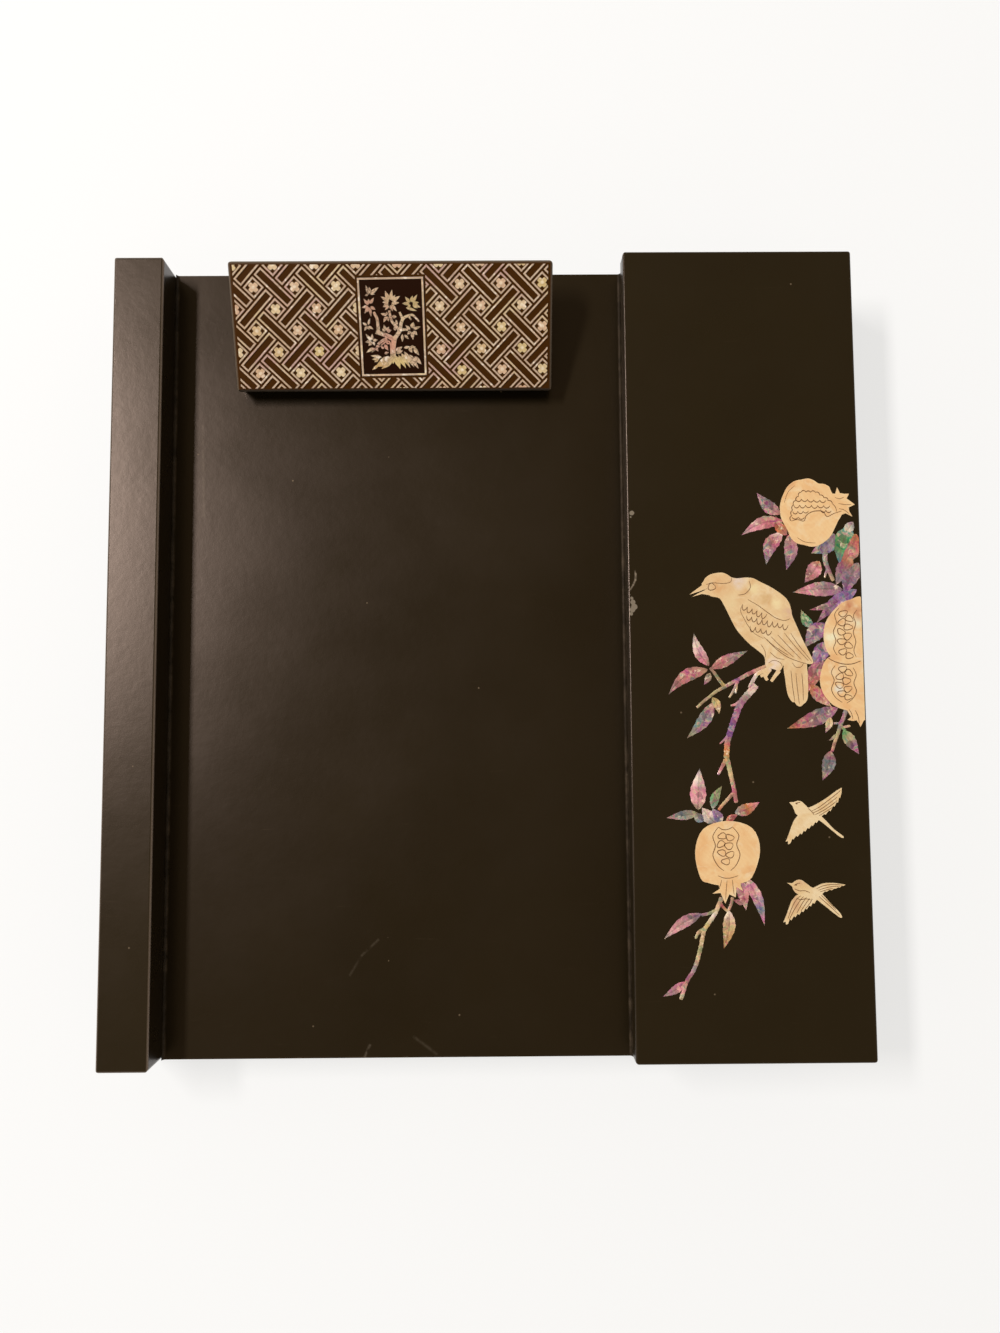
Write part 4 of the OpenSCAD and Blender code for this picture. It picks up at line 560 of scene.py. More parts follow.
# Shell leaves and twigs on the lid, in millimetres from the middle of its outer edge. A leaf has its stem, tip, width,
# bend and the casts from stem to tip, and a twig has its points, its width at both ends and its casts
TINT = {"purple": srgb(124, 94, 130), "mauve": srgb(154, 118, 138), "pink": srgb(222, 156, 174),
        "rose": srgb(182, 110, 120), "rust": srgb(190, 110, 68), "slate": srgb(124, 126, 140),
        "green": srgb(56, 150, 92), "teal": srgb(64, 114, 156), "cream": srgb(222, 194, 154),
        "gold": srgb(208, 178, 120), "white": srgb(242, 228, 220), "magenta": srgb(170, 96, 162),
        "violet": srgb(124, 94, 158), "orange": srgb(210, 130, 72), "moss": srgb(150, 152, 110),
        "olive": srgb(140, 122, 92)}
LEAVES = [
    (-21.8, 35.8, -28, 41.8, 3.5, 0.6, "rose mauve purple mauve"),
    (-21, 34, -32.5, 30.1, 3.5, -1.3, "rose rose pink mauve"),
    (-21.4, 30.9, -25.9, 22, 3.9, -1.3, "white rose purple slate"),
    (-19.4, 30.3, -20.5, 20.5, 3.7, 0.8, "rose mauve purple"),
    (-20.1, 30.1, -24, 34.4, 2.8, 0, "rose rust rose"),
    (-7, 30.3, -13.6, 25, 4.8, 0.8, "purple slate teal slate"),
    (-11.4, 22.8, -15.6, 17, 4, 0.2, "rust pink rose mauve"),
    (-2.8, 32.4, -6, 22, 5.4, -0.6, "teal green green teal"),
    (-1.9, 33.6, -4.8, 29.5, 2.6, 0, "slate white violet"),
    (-1.1, 30.3, -5.7, 21.1, 5.2, 0.5, "rust rose rust"),
    (-2.5, 23.5, -7.1, 16.2, 4.2, -0.4, "rust purple mauve"),
    (-5.3, 15, -18.9, 14.3, 4, -0.5, "purple mauve pink rose"),
    (-0.7, 22.3, -4.9, 13.4, 4.6, -0.6, "mauve purple violet"),
    (-1.5, 15, -12.6, 6, 3.8, -0.8, "violet violet purple mauve"),
    (-6.9, 11.6, -14.5, 9.5, 1.7, 0.3, "slate mauve rose"),
    (-13.8, 4.6, -16.8, 9.5, 2.6, 0.5, "teal green moss"),
    (-10.3, 5.8, -16, -0.7, 4.6, -0.5, "violet purple slate"),
    (-10.5, 0.7, -14.5, -5.9, 4.2, 0.4, "purple violet mauve"),
    (-11.4, -4.1, -15.5, -12.7, 4.2, -0.4, "mauve rose rust"),
    (-15, -10.7, -9.3, -16.9, 3.2, -0.4, "rust rose cream"),
    (-7.7, -17.2, -21.5, -22.6, 4.2, 0.3, "mauve purple rose rust"),
    (-9.9, -19.4, -11.2, -23.8, 2, 0.3, "cream cream slate"),
    (-6.4, -23.2, -2.4, -29.6, 3.2, 0, "green moss purple mauve"),
    (-9.9, -28.7, -12.4, -36.5, 3.6, 0.4, "rose slate slate purple"),
    (-7.9, -24, -10.4, -25.9, 1, 0.2, "moss green"),
    (-42.2, -5.6, -46.1, 3.3, 3, 0.85, "rose pink white mauve"),
    (-41.6, -6.3, -31.7, -1.6, 3, 0.15, "rose rose mauve slate"),
    (-42.5, -6.5, -53.2, -13.2, 3.5, -1.6, "olive rose rose mauve"),
    (-41.9, -7.5, -43.6, -10.7, 1.7, 0.15, "olive mauve"),
    (-41.1, -15.5, -48.5, -25, 3.5, 0.75, "rose slate slate moss"),
    (-41.4, -14.1, -39.7, -18.6, 2.1, 0.4, "gold cream"),
    (-45.9, -44.2, -45.3, -33.2, 4.3, 0.2, "moss pink pink white slate"),
    (-42.1, -43.9, -39.4, -37.8, 2.4, 0.5, "slate green moss"),
    (-46, -45, -54.4, -46.2, 2.5, 0, "moss slate mauve"),
    (-36.1, -45.1, -29.5, -42.2, 3.1, -0.3, "slate rust pink"),
    (-44.5, -47.2, -47.3, -44.6, 2.4, 0.2, "teal moss"),
    (-41.5, -47.6, -44.9, -43.5, 3.4, 0.2, "slate white slate"),
    (-39.7, -47.5, -42.1, -43.7, 3, 0.2, "slate violet slate"),
    (-38.5, -47.2, -35.3, -45.4, 1.7, 0.1, "rust rose"),
    (-33.8, -61.7, -29, -74.6, 2.9, 0.9, "mauve pink violet pink"),
    (-35.4, -62.4, -33.8, -70.6, 3.2, 0.2, "violet pink rose white"),
    (-34.3, -68.9, -37.1, -67.9, 1.4, 0, "pink rose"),
    (-38.3, -70.6, -39.9, -80.5, 3.3, 0.6, "white cream gold rust"),
    (-45.7, -71.4, -55.6, -77.9, 3, -0.7, "slate mauve pink pink white"),
    (-50.3, -89.1, -56.2, -92.8, 2.2, 0.3, "rose pink mauve mauve")]
TWIGS = [
    ([(-26.7, -5.9), (-29.1, -6.8), (-31.5, -7.8), (-33.9, -9.1), (-36.3, -10.3), (-38.3, -11.4), (-40.4, -12.5),
      (-42.2, -13.9), (-44, -15.3), (-45.7, -16.8)], 1.15, 0.64, "cream rose mauve cream moss cream"),
    ([(-38.2, -11.2), (-39.7, -9.1), (-40.8, -7.5), (-41.9, -6.1)], 0.94, 0.68, "gold moss rose"),
    ([(-29.6, -10.8), (-31.4, -12.9), (-33.3, -15), (-34.5, -17), (-35.2, -18.9), (-35.9, -20.6), (-36.5, -22.4),
      (-37.2, -24.4), (-37.7, -26.2), (-37.9, -28.3),
      (-38.1, -30.4)], 1.87, 1.36, "white white mauve magenta magenta magenta violet violet rose orange gold"),
    ([(-38, -30.3), (-37.5, -32.3), (-37, -34.9), (-36.3, -38.3),
      (-35.7, -42.3)], 1.27, 0.98, "orange moss cream rose rose"),
    ([(-34.4, -9.4), (-35.3, -11.6), (-36.9, -14.2)], 0.85, 0.51, "rose mauve cream"),
    ([(-34.2, -15.4), (-35.2, -16), (-36.6, -16.4)], 1.02, 0.42, "mauve pink rose"),
    ([(-37.5, -24.6), (-38.6, -25.6), (-39.7, -26.6)], 0.77, 0.34, "violet mauve rose"),
    ([(-38.2, -30.8), (-39.2, -32.6), (-40.4, -34.8)], 1.19, 0.59, "orange rose pink"),
    ([(-36.5, -39.8), (-38, -41.4), (-39.6, -43.1), (-40.5, -44.2)], 0.94, 0.68, "rose cream rust"),
    ([(-40.2, -67.2), (-41.1, -69.4), (-42.3, -71.8), (-43.8, -73.9), (-45, -75.7), (-45.5, -77.6), (-46, -79.9),
      (-46.5, -81.8), (-47.2, -84.1), (-48.2, -86.4), (-49.4, -88.1), (-50.2, -89.6), (-50.8, -91.5),
      (-51.6, -93.6)], 1.1, 0.94, "rose cream white gold cream cream moss cream slate pink rose pink cream"),
    ([(-45.1, -75.6), (-46.5, -76.3), (-47.4, -77.9)], 1.19, 0.51, "gold cream moss"),
    ([(-41.2, -70.3), (-42.7, -71), (-44.2, -71.5), (-45.7, -71.8)], 0.85, 0.68, "cream moss slate"),
    ([(-37.3, -67.2), (-37.7, -68.9), (-38.5, -70.7)], 0.85, 0.59, "cream rose cream"),
    ([(-5.5, -17.7), (-6.2, -19.7), (-7.1, -21.6), (-7.8, -23.8), (-8.6, -25.8),
      (-9.6, -28.8)], 1.1, 0.77, "slate mauve purple moss cream rose"),
    ([(-7.1, -21.8), (-6.4, -22.6), (-5.9, -23.4)], 0.77, 0.59, "moss green green"),
    ([(-34.8, -10.5), (-34.9, -11.8), (-35.2, -13.1)], 0.68, 0.42, "rose cream mauve"),
    ([(-40.7, -68.4), (-39.8, -69.8), (-38.7, -70.8)], 0.77, 0.59, "rose rust cream"),
    ([(-6.9, -21.2), (-7.9, -21.3), (-8.9, -21.3)], 0.68, 0.51, "mauve purple mauve"),
    ([(-6.9, -22.6), (-5.7, -22.2), (-4.5, -22)], 0.77, 0.51, "moss cream cream"),
    ([(-27.7, -6.6), (-29.4, -8.1), (-30.7, -10.2), (-31.4, -11.6)], 1.1, 0.85, "cream white white mauve"),
    ([(-9.4, 27.4), (-9.9, 23.5), (-9.1, 20.6), (-7.8, 17.4)], 1.44, 0.85, "slate slate mauve cream"),
    ([(-9.2, 20.8), (-9.8, 19.5), (-10.1, 18.3)], 0.77, 0.42, "slate mauve cream")]
LID_LOW, LID_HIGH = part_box("lid")
LID_TOP = LID_HIGH.z
SHELL_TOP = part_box("inlay_large_bird")[1].z
FLAT_EDGE = LID_HIGH.x - 0.5 * MM
LEAF_GRID = (22, 5)
TWIG_HALF_GRID = 2
SPLINE_STEPS = 10


def on_lid(x, y):
    """A point of the lid's tables, which start at the middle of its outer edge, in metres."""
    return Vector((LID_HIGH.x + x * MM, (LID_LOW.y + LID_HIGH.y) / 2 + y * MM))


def shell_over(*names):
    """A test for whether a point in plan lies under one of these shells."""
    trees = []
    for n in names:
        me = nodes[n].data
        trees.append(BVHTree.FromPolygons([v.co for v in me.vertices], [tuple(p.vertices) for p in me.polygons]))

    def covered(x, y):
        return any(t.ray_cast(Vector((x, y, 1.0)), Vector((0, 0, -1)))[0] is not None for t in trees)
    return covered


class Relief:
    """Collects low domed patches with a tint at each point, closed underneath."""

    def __init__(self):
        self.verts, self.faces, self.tints = [], [], []

    def patch(self, rows, tints, hidden):
        """rows of (x, y, z) across the piece; quads wholly hidden under another shell are left out."""
        n, m = len(rows), len(rows[0])
        base = len(self.verts)
        for lower in (False, True):
            for row, tint_row in zip(rows, tints):
                for (x, y, z), tint in zip(row, tint_row):
                    self.verts.append((min(x, FLAT_EDGE), y, LID_TOP if lower else z))
                    self.tints.append(tint)
        under = [[x > FLAT_EDGE or hidden(x, y) for x, y, _ in row] for row in rows]
        keep = {(i, j) for i in range(n - 1) for j in range(m - 1)
                if not (under[i][j] and under[i + 1][j] and under[i][j + 1] and under[i + 1][j + 1])}
        half = n * m

        def at(i, j):
            return base + i * m + j
        for i, j in sorted(keep):
            a, b, c, d = at(i, j), at(i, j + 1), at(i + 1, j + 1), at(i + 1, j)
            self.faces.append((a, b, c, d))
            self.faces.append((half + d, half + c, half + b, half + a))
            for p, q, side in ((a, d, (i, j - 1)), (c, b, (i, j + 1)), (b, a, (i - 1, j)), (d, c, (i + 1, j))):
                if side not in keep:
                    self.faces.append((p, q, half + q, half + p))

    def build(self, name, material, body):
        ob = mesh_piece(name, self.verts, self.faces, material, body)
        layer = ob.data.attributes.new("tint", "FLOAT_COLOR", "POINT")
        layer.data.foreach_set("color", [c for t in self.tints for c in t])
        bm = bmesh.new()
        bm.from_mesh(ob.data)
        bmesh.ops.delete(bm, geom=[v for v in bm.verts if not v.link_faces], context="VERTS")
        bmesh.ops.recalc_face_normals(bm, faces=bm.faces)
        bm.to_mesh(ob.data)
        bm.free()
        split = ob.modifiers.new("crisp_edges", "EDGE_SPLIT")
        split.split_angle = math.radians(50)
        return ob


def cast_at(casts, t, shade):
    """The tint at t, from 0 to 1, along a row of named casts."""
    f = t * (len(casts) - 1)
    k = min(int(f), len(casts) - 2)
    a, b = TINT[casts[k]], TINT[casts[k + 1]]
    return tuple(shade * (p + (q - p) * (f - k)) for p, q in zip(a[:3], b[:3])) + (1.0,)


def spline(p, t):
    """Catmull-Rom through the points, t from 0 to 1."""
    f = min(t * (len(p) - 1), len(p) - 1 - 1e-9)
    i = int(f)
    u = f - i
    a, b, c, d = (Vector(p[max(i - 1, 0)]), Vector(p[i]), Vector(p[i + 1]), Vector(p[min(i + 2, len(p) - 1)]))
    return (2 * b + (c - a) * u + (2 * a - 5 * b + 4 * c - d) * u * u + (3 * b - a - 3 * c + d) * u ** 3) / 2


def add_leaf(relief, row, hidden):
    """A domed leaf with a sunk midrib, darker veins and a faintly toothed outline."""
    ax, ay, bx, by, w, bend, casts = row
    casts = casts.split()
    a, b = Vector((ax, ay)), Vector((bx, by))
    side = Vector((a.y - b.y, b.x - a.x)).normalized()
    n, m = LEAF_GRID
    lift = rng.uniform(0.9, 1.1)
    rows, tints = [], []
    for i in range(n + 1):
        t = i / n
        mid = a + (b - a) * t + side * bend * math.sin(math.pi * t)
        half = max(0.02, w / 2 * math.sin(math.pi * t ** 0.8) * (1.12 - 0.3 * t))
        half *= 1 + 0.05 * math.sin(2 * math.pi * 6 * t)
        row_pts, row_tints = [], []
        for j in range(-m, m + 1):
            s = j / m
            p = mid + side * half * s
            rib = 0.06 if j == 0 else 0.0
            z = 0.07 + 0.11 * (1 - s * s) * math.sin(math.pi * min(1, t + 0.05)) - rib
            row_pts.append((*on_lid(*p), LID_TOP + z * MM))
            vein = 0.8 if abs(math.sin(math.pi * (7 * t - 2.2 * abs(s)))) < 0.3 else 1.0
            shade = lift * (0.5 if j == 0 else vein * (1.12 if s > 0 else 0.92))
            row_tints.append(cast_at(casts, t, shade))
        rows.append(row_pts)
        tints.append(row_tints)
    relief.patch(rows, tints, hidden)


def add_twig(relief, row, hidden):
    """A rounded twig with small knots."""
    pts, w0, w1, casts = row
    casts = casts.split()
    n, m = SPLINE_STEPS * (len(pts) - 1), TWIG_HALF_GRID
    rows, tints = [], []
    for i in range(n + 1):
        t = i / n
        mid = spline(pts, t)
        ahead = (spline(pts, min(1, t + 0.02)) - spline(pts, max(0, t - 0.02))).normalized()
        side = Vector((-ahead.y, ahead.x))
        knot = 1 + 0.16 * max(0.0, math.sin(2 * math.pi * (1.3 * len(pts) * t + pts[0][0]))) ** 3
        half = (w0 + (w1 - w0) * t) / 2 * knot * (0.75 if i in (0, n) else 1.0)
        row_pts, row_tints = [], []
        for j in range(-m, m + 1):
            s = j / m
            p = mid + side * half * s
            row_pts.append((*on_lid(*p), LID_TOP + (0.1 + 0.1 * (1 - s * s)) * MM))
            row_tints.append(cast_at(casts, t, 1.0 - 0.2 * (s + 1) / 2))
        rows.append(row_pts)
        tints.append(row_tints)
    relief.patch(rows, tints, hidden)


cream_over = shell_over("inlay_large_bird", "inlay_pomegranates")
leaves = Relief()
for row in LEAVES:
    add_leaf(leaves, row, cream_over)
leaf_ob = leaves.build("leaf_shells", leaf_shell, "lid")
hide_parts("inlay_leaves")
twigs = Relief()
for row in TWIGS:
    add_twig(twigs, row, cream_over)
twig_ob = twigs.build("twig_shells", leaf_shell, "lid")
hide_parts("inlay_branches")

# Engraved lines, filled dark, on the cream shells, in the same millimetres. A line has its width and points, a row of
# scallops its ends, count and depth, a loop its middle, two radii and turn in degrees, a dot its middle and radius
FINE_LINES = [
    (0.2, [(-46.5, 13.6), (-44.3, 14.6), (-42.3, 15.4)]),
    (0.18, [(-42.5, 16.5), (-40.7, 17), (-37.9, 16.8), (-35.9, 17.2), (-35.5, 18.3)]),
    (0.2, [(-30.8, 17.5), (-30.5, 15.7), (-31.9, 14), (-33.8, 13.6)]),
    (0.2, [(-31.3, 12.4), (-28.5, 10.7), (-25.7, 8.6), (-23.6, 7.2), (-21.5, 6.6), (-19.9, 7.1)]),
    (0.16, [(-32.7, 11.1), (-33.3, 9.3), (-32.4, 7.2), (-31.4, 5.3), (-29.9, 3.3), (-27.3, 1.7)]),
    (0.18, [(-27.3, 2.2), (-24.5, -0.3), (-20.7, -2.9)]),
    (0.18, [(-25.2, 2.2), (-22.8, -0.3), (-19.3, -3.3)]),
    (0.18, [(-23.4, 2.7), (-20.7, -0.3), (-17.2, -4)]),
    (0.18, [(-21.6, 3.2), (-18.9, -0.3), (-15.3, -4.4)]),
    (0.18, [(-19.9, 3.2), (-17.7, -0.3), (-14.4, -4.6)]),
    (0.2, [(-26.4, 1.5), (-24.5, -0.6), (-21.8, -2.8), (-19, -4.2), (-14.8, -5.5)]),
    (0.16, [(-28, 0.1), (-27, -1.7), (-26.9, -3.4)]),
    (0.16, [(-25.6, -2), (-23.9, -3.5), (-21.8, -4)]),
    (0.16, [(-26.1, -4.9), (-24.6, -4.2), (-22.9, -4.9), (-22.4, -5.9)]),
    (0.18, [(-19.7, -4.9), (-18.7, -6.1), (-17.3, -6), (-16.6, -4.9)]),
    (0.18, [(-20.1, -7), (-19.8, -11.2), (-19.3, -15.4)]),
    (0.18, [(-18.8, -7.7), (-18.5, -11.9), (-18.1, -16.1)]),
    (0.18, [(-17.2, -7.7), (-17, -11.6), (-17, -15.1)])]
DEEP_LINES = [
    (0.2, [(-20, -42.6), (-19.3, -42.4), (-18.6, -42.3)]),
    (0.19, [(-15.7, -44.7), (-13.6, -43.6), (-11.2, -41.9), (-8.8, -40.1), (-7.8, -39.2)]),
    (0.19, [(-15.4, -45.2), (-13.3, -44.2), (-11.3, -42.9), (-8.7, -41)]),
    (0.19, [(-14.7, -45.6), (-12.7, -44.6), (-10.6, -43.3), (-8.7, -41.9)]),
    (0.19, [(-13.7, -45.9), (-11.7, -44.7), (-9.8, -43.5)]),
    (0.2, [(-16.6, -43.9), (-15.7, -44.7), (-15, -45.7)]),
    (0.2, [(-20.9, -64.2), (-20.3, -63.8), (-19.3, -63.6)]),
    (0.19, [(-15, -65.1), (-13, -64.3), (-10.6, -64), (-8, -64.2)]),
    (0.19, [(-14.5, -65.5), (-12.6, -64.9), (-10.3, -64.5), (-8.6, -64.5)]),
    (0.19, [(-14, -65.9), (-12.3, -65.4), (-10.6, -65)]),
    (0.19, [(-19.2, -66.9), (-20.5, -68), (-21.8, -70.3), (-22.8, -72.9)]),
    (0.19, [(-18.5, -67.1), (-19.7, -68.5), (-21.1, -70.6), (-22.5, -73.2)]),
    (0.19, [(-17.7, -67.3), (-18.9, -68.9), (-20.4, -71.4)]),
    (0.19, [(-16.9, -67.6), (-17.9, -68.9), (-19.3, -70.9)]),
    (0.19, [(-16.2, -67.7), (-16.8, -68.8), (-18, -70.2)]),
    (0.2, [(-20.4, -67.6), (-19.2, -67.9), (-17.9, -67.7), (-16.6, -68)]),
    (0.19, [(-14.4, -67.1), (-12.8, -68.6), (-11.1, -70.1), (-9.1, -72.1)]),
    (0.19, [(-13.8, -66.8), (-12.1, -68.4), (-10, -70.6)]),
    (0.19, [(-20.8, -65.1), (-19.5, -65.6), (-18.1, -65.6), (-16.8, -66.1)]),
    (0.24, [(-18.8, 33.9), (-17.2, 34.3), (-15.4, 33.9), (-14.7, 35.4), (-13.2, 36.4), (-11.4, 36.7), (-10, 36.4),
            (-9, 35.1), (-7.2, 35.9), (-5, 36.6)]),
    (0.18, [(-7.6, 38.8), (-6.7, 37.8), (-6.3, 36.4)]), (0.16, [(-6.7, 40.4), (-5.4, 40), (-4.2, 40.5)]),
    (0.16, [(-5.8, 38.7), (-4.1, 38.4), (-2.3, 38.4)]), (0.16, [(-5.7, 37.3), (-4.3, 36.9), (-2.9, 35.8)]),
    (0.14, [(-20.6, 39), (-19.5, 41.9), (-17.6, 43.7)]),
    (0.14, [(-17.3, 29.3), (-15.2, 28.1), (-12.4, 27.8)]),
    (0.26, [(-10.6, -3.3), (-8.3, -4.6), (-5.9, -5.3), (-3.5, -5.3), (-1.1, -4.5)]),
    (0.22, [(-6.5, 10), (-7.8, 8.2), (-7.4, 5.8), (-8.3, 3.4), (-7.7, 1), (-8.4, -1.1), (-7.5, -2.9)]),
    (0.22, [(-1.7, 9.4), (-2.7, 7.8), (-2.2, 5.6), (-2.9, 3.2), (-2.3, 0.8), (-2.9, -1.7), (-2.3, -3.5)]),
    (0.22, [(-8.1, -5.7), (-9.2, -7.5), (-8.5, -9.7), (-9.3, -12.1), (-8.3, -14.3), (-6.5, -15.7)]),
    (0.22, [(-3.3, -6.3), (-2.5, -8.3), (-3.2, -10.5), (-2.6, -12.7), (-3.7, -14.7), (-5.3, -15.9)]),
    (0.18, [(-4.7, -17.6), (-4.1, -18.8), (-3.8, -20.2)]),
    (0.18, [(-3.1, -17.8), (-2.4, -19.4), (-2.1, -21.2)]),
    (0.24, [(-40.7, -48.7), (-42.2, -51.1), (-41.6, -53.6), (-42.3, -56.2), (-41.1, -58.8), (-39.5, -60.2)]),
    (0.24, [(-36.9, -48.7), (-35.3, -50.9), (-35.9, -53.4), (-35.1, -56), (-36.1, -58.6), (-37.7, -60.2)]),
    (0.24, [(-40.7, -48.7), (-39.5, -49.4), (-38.1, -49.3), (-36.9, -48.7)]),
    (0.2, [(-41.1, -61.5), (-39.5, -62.1), (-37.7, -62.1), (-35.7, -61.5)]),
    (0.16, [(-40.1, -62.6), (-40.7, -64.4), (-41.7, -65.7)]),
    (0.16, [(-38.7, -62.8), (-39, -65.4), (-39.2, -67.8)]),
    (0.16, [(-37.3, -62.6), (-37.1, -64.8), (-36.9, -66.6)])]
FINE_SCALLOPS = [
    (-32.7, 10.9, -26.2, 8.3, 5, 1.35), (-31.7, 8, -20.5, 5.3, 8, 1.45), (-30.8, 5.2, -25, 3.7, 4, 1.4)]
DEEP_SCALLOPS = [
    (-18.8, 33.9, -18.1, 38.4, 3, -0.45), (-18.1, 38.4, -15.9, 41.9, 3, -0.45),
    (-15.9, 41.9, -12, 41.8, 3, -0.45), (-12, 41.8, -7.5, 38.7, 4, -0.45),
    (-17.5, 40.1, -9.2, 39.6, 5, 0.75), (-18.1, 38.4, -8.2, 38.1, 6, 0.75),
    (-18.4, 36.6, -14.1, 36.7, 3, 0.7), (-10.7, 37.1, -7.8, 36.7, 2, 0.7), (-18.6, 35, -15.2, 35, 2, 0.6)]
FINE_LOOPS = [(-41, 15.9, 1, 0.95, 10)]
DEEP_LOOPS = [
    (-5.5, 8.4, 1.2, 0.8, 20), (-3.9, 7, 1.1, 0.8, -20), (-5.9, 6, 1.1, 0.9, 40),
    (-4.3, 4.7, 1.2, 0.8, 0), (-6.2, 3.4, 1.1, 0.8, -30), (-4.5, 2.2, 1.1, 0.9, 30),
    (-6.1, 0.8, 1.2, 0.8, 0), (-4.3, -0.3, 1.1, 0.8, -20), (-5.9, -2, 1.1, 0.8, 20),
    (-4.2, -3.1, 1, 0.8, 0), (-6.1, -6.7, 1.1, 0.8, 10), (-4.5, -7.7, 1.1, 0.8, -30),
    (-6.9, -8.7, 1.1, 0.8, 30), (-5.2, -9.9, 1.1, 0.9, 0), (-7.1, -11, 1.1, 0.8, -20),
    (-4.9, -12.1, 1.1, 0.8, 20), (-6.5, -13.3, 1.1, 0.8, 0), (-4.9, -14.3, 1, 0.7, 0),
    (-39.7, -51.1, 1.1, 0.8, 10), (-37.7, -51.5, 1.1, 0.8, -20), (-40.1, -53.2, 1.1, 0.8, 30),
    (-38, -53.7, 1.1, 0.9, 0), (-39.9, -55.5, 1.1, 0.8, -20), (-37.7, -56, 1.1, 0.8, 20),
    (-38.9, -57.8, 1.1, 0.8, 0)]
DOTS = [(-19.6, -42.6, 0.26), (-20.4, -64, 0.26)]
# Heights of the fill from the shells' top, and the width of scallops and loops, in millimetres
INK_TOP, DOT_TOP, INK_FOOT = 0.012, 0.014, -0.05
LINE_WEIGHT = 0.26
SCALLOP_STEPS = 10
LOOP_STEPS = 18


class Ribbons:
    """Collects thin closed strips that fill engraved lines."""

    def __init__(self, covered):
        self.verts, self.faces, self.covered = [], [], covered

    def ring(self, p, side):
        for s, z in ((1, INK_TOP), (-1, INK_TOP), (-1, INK_FOOT), (1, INK_FOOT)):
            self.verts.append((p.x + s * side.x, p.y + s * side.y, SHELL_TOP + z * MM))

    def strip(self, pts, width):
        """A tapering strip through points in metres, only where it lies on shell."""
        run = []
        for i, p in enumerate(pts):
            ahead = (pts[min(i + 1, len(pts) - 1)] - pts[max(i - 1, 0)]).normalized()
            t = i / (len(pts) - 1)
            half = width * MM / 2 * (0.45 + 0.55 * math.sin(math.pi * t) ** 0.5)
            side = Vector((-ahead.y, ahead.x)) * half
            if self.covered(p.x + side.x, p.y + side.y) and self.covered(p.x - side.x, p.y - side.y):
                run.append((p, side))
            else:
                self.close(run)
                run = []
        self.close(run)

    def close(self, run):
        """Ends a run of points as one closed strip."""
        if len(run) < 3:
            return
        base = len(self.verts)
        for p, side in run:
            self.ring(p, side)
        for i in range(len(run) - 1):
            a = base + 4 * i
            for k in range(4):
                self.faces.append((a + k, a + (k + 1) % 4, a + 4 + (k + 1) % 4, a + 4 + k))
        end = base + 4 * (len(run) - 1)
        self.faces.append((base + 3, base + 2, base + 1, base))
        self.faces.append((end, end + 1, end + 2, end + 3))

    def dot(self, mid, r, n=12):
        base = len(self.verts)
        for z in (DOT_TOP, INK_FOOT):
            for k in range(n):
                a = 2 * math.pi * k / n
                self.verts.append((mid.x + r * MM * math.cos(a), mid.y + r * MM * math.sin(a), SHELL_TOP + z * MM))
        self.faces.append(tuple(range(base, base + n)))
        self.faces.append(tuple(range(base + 2 * n - 1, base + n - 1, -1)))
        for k in range(n):
            k2 = (k + 1) % n
            self.faces.append((base + k2, base + k, base + n + k, base + n + k2))


def engrave(name, lines, scallops, loops, dots, deep, light):
    """One piece that fills a set of engraved lines, with its own colour."""
    ink = Ribbons(shell_over("inlay_large_bird", "inlay_pomegranates", "inlay_small_birds"))
    for width, pts in lines:
        n = SPLINE_STEPS * (len(pts) - 1)
        ink.strip([on_lid(*spline(pts, i / n)) for i in range(n + 1)], width)
    for x0, y0, x1, y1, count, depth in scallops:
        a, b = Vector((x0, y0)), Vector((x1, y1))
        right = Vector((b.y - a.y, a.x - b.x)).normalized()
        for k in range(count):
            sag = depth * rng.uniform(0.8, 1.15)
            arc = []
            for i in range(SCALLOP_STEPS + 1):
                t = i / SCALLOP_STEPS
                arc.append(on_lid(*(a + (b - a) * (k + t) / count + right * sag * math.sin(math.pi * t) ** 0.6)))
            ink.strip(arc, LINE_WEIGHT)
    for x, y, rx, ry, turn in loops:
        c, s = math.cos(math.radians(turn)), math.sin(math.radians(turn))
        ring = []
        for i in range(LOOP_STEPS + 1):
            a = 2 * math.pi * i / LOOP_STEPS
            wob = 1 + 0.12 * math.sin(3 * a + x)
            u, v = rx * wob * math.cos(a), ry * wob * math.sin(a)
            ring.append(on_lid(x + c * u - s * v, y + s * u + c * v))
        ink.strip(ring, LINE_WEIGHT)
    for x, y, r in dots:
        ink.dot(on_lid(x, y), r)
    t = Tree(name)
    t.set(Base_Color=t.mix(t.noise(500.0), deep, light), Roughness=0.7)
    mesh_piece(name, ink.verts, ink.faces, t.mat, "lid")


engrave("fine_engraving", FINE_LINES, FINE_SCALLOPS, FINE_LOOPS, [], srgb(118, 84, 54), srgb(148, 108, 72))
engrave("deep_engraving", DEEP_LINES, DEEP_SCALLOPS, DEEP_LOOPS, DOTS, srgb(112, 74, 44), srgb(144, 102, 64))

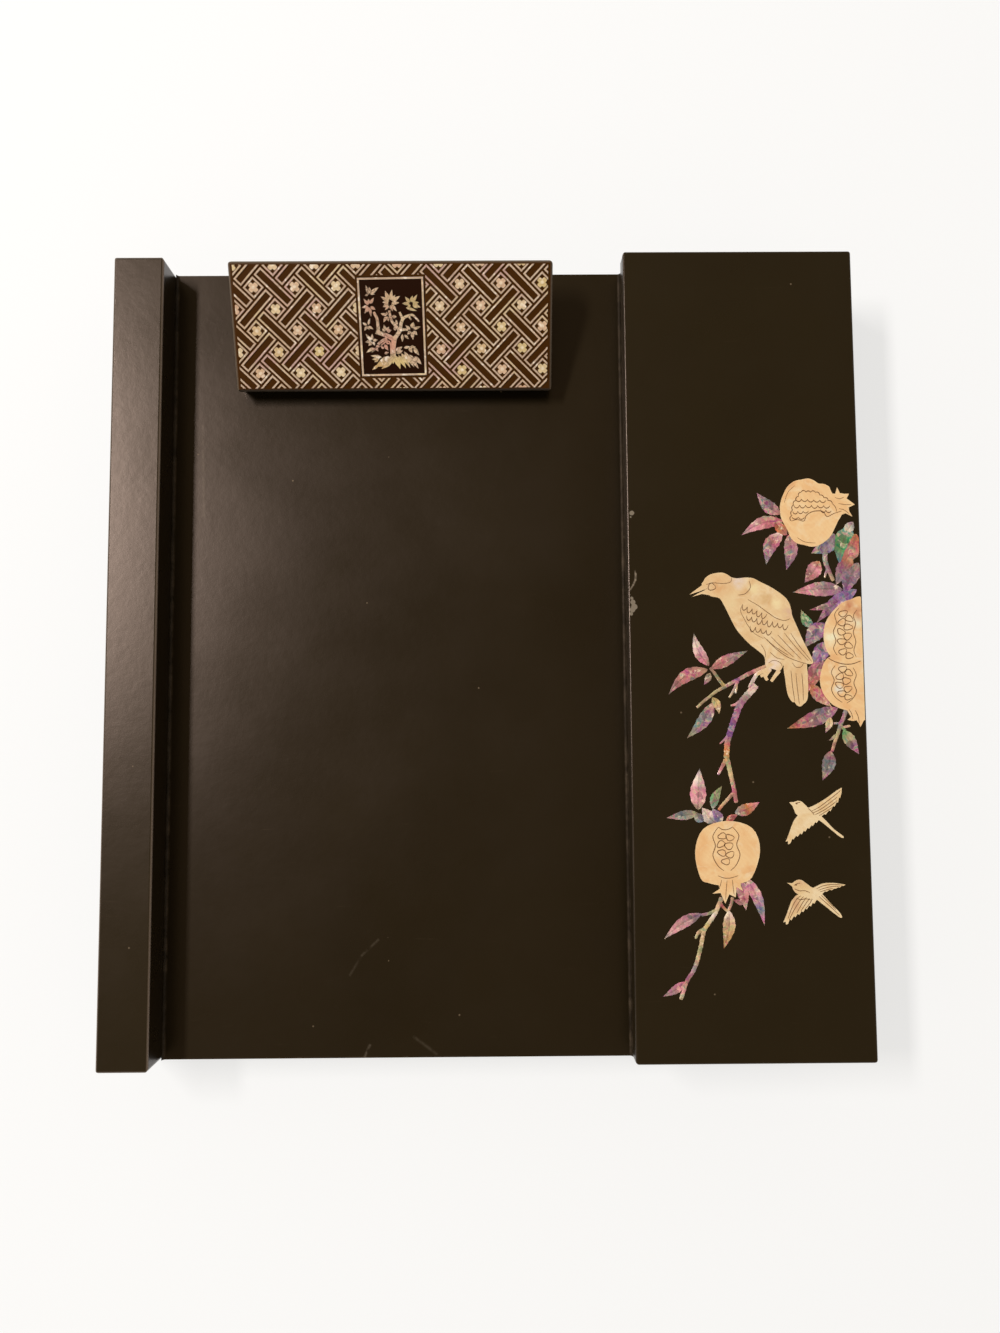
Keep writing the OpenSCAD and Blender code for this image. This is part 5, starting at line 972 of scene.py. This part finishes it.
# Light, world and floor
KEY_AT = (-0.78, 0.36, 1.2)
KEY_SIZE = (0.14, 0.56)
KEY_WATTS = 16.6
KEY_COLOUR = (1.0, 0.95, 0.9)
SKY = [(0.1, (0.95, 0.935, 0.915, 1.0)), (0.3, (0.8, 0.79, 0.77, 1.0)), (0.62, (0.26, 0.205, 0.12, 1.0))]
FLOOR_HALF, FLOOR_Z = 4.0, -0.0001
FLOOR_GLOW = 0.7
key = bpy.data.lights.new("key", "AREA")
key.shape = "RECTANGLE"
key.size, key.size_y = KEY_SIZE
key.energy = KEY_WATTS
key.color = KEY_COLOUR
key_ob = new_object("key", key)
key_ob.location = KEY_AT
key_ob.rotation_euler = (0.0, math.atan2(KEY_AT[0], KEY_AT[2]), 0.0)

world = bpy.data.worlds.new("studio")
bpy.context.scene.world = world
world.use_nodes = True
wt = world.node_tree
wt.nodes.clear()
w_pos, w_sep, w_ramp, w_back, w_out = [
    wt.nodes.new("ShaderNode" + kind) for kind in ("TexCoord", "SeparateXYZ", "ValToRGB", "Background", "OutputWorld")]
for source, target in ((w_pos.outputs["Generated"], w_sep), (w_sep.outputs[2], w_ramp),
                       (w_ramp.outputs[0], w_back), (w_back.outputs[0], w_out)):
    wt.links.new(source, target.inputs[0])
w_ramp.color_ramp.elements.new(0.5)
for e, (at, colour) in zip(w_ramp.color_ramp.elements, SKY):
    e.position = at
    e.color = colour

floor_tree = Tree("floor")
floor_tree.set(Base_Color=floor_tree.mix(floor_tree.noise(6.0, 2.0), srgb(248, 251, 255), srgb(250, 253, 255)),
               Roughness=0.9)
glow = floor_tree.add("ShaderNodeEmission", None, Color=(1.0, 1.0, 1.0, 1.0), Strength=1.0)
ray = floor_tree.add("ShaderNodeLightPath")
seen = floor_tree.math("MAXIMUM", ray.outputs["Is Camera Ray"], ray.outputs["Is Glossy Ray"])
seen = floor_tree.math("MAXIMUM", seen, ray.outputs["Is Transmission Ray"])
blend = floor_tree.add("ShaderNodeMixShader", None, i0=floor_tree.math("MULTIPLY", seen, FLOOR_GLOW),
                       i1=floor_tree.bsdf.outputs[0], i2=glow.outputs[0])
floor_out = next(n for n in floor_tree.tree.nodes if n.type == "OUTPUT_MATERIAL")
floor_tree.tree.links.new(blend.outputs[0], floor_out.inputs[0])
floor_me = bpy.data.meshes.new("floor")
corners = [(x * FLOOR_HALF, y * FLOOR_HALF, FLOOR_Z) for x, y in ((-1, -1), (1, -1), (1, 1), (-1, 1))]
floor_me.from_pydata(corners, [], [(0, 1, 2, 3)])
floor_me.materials.append(floor_tree.mat)
floor = new_object("floor", floor_me)
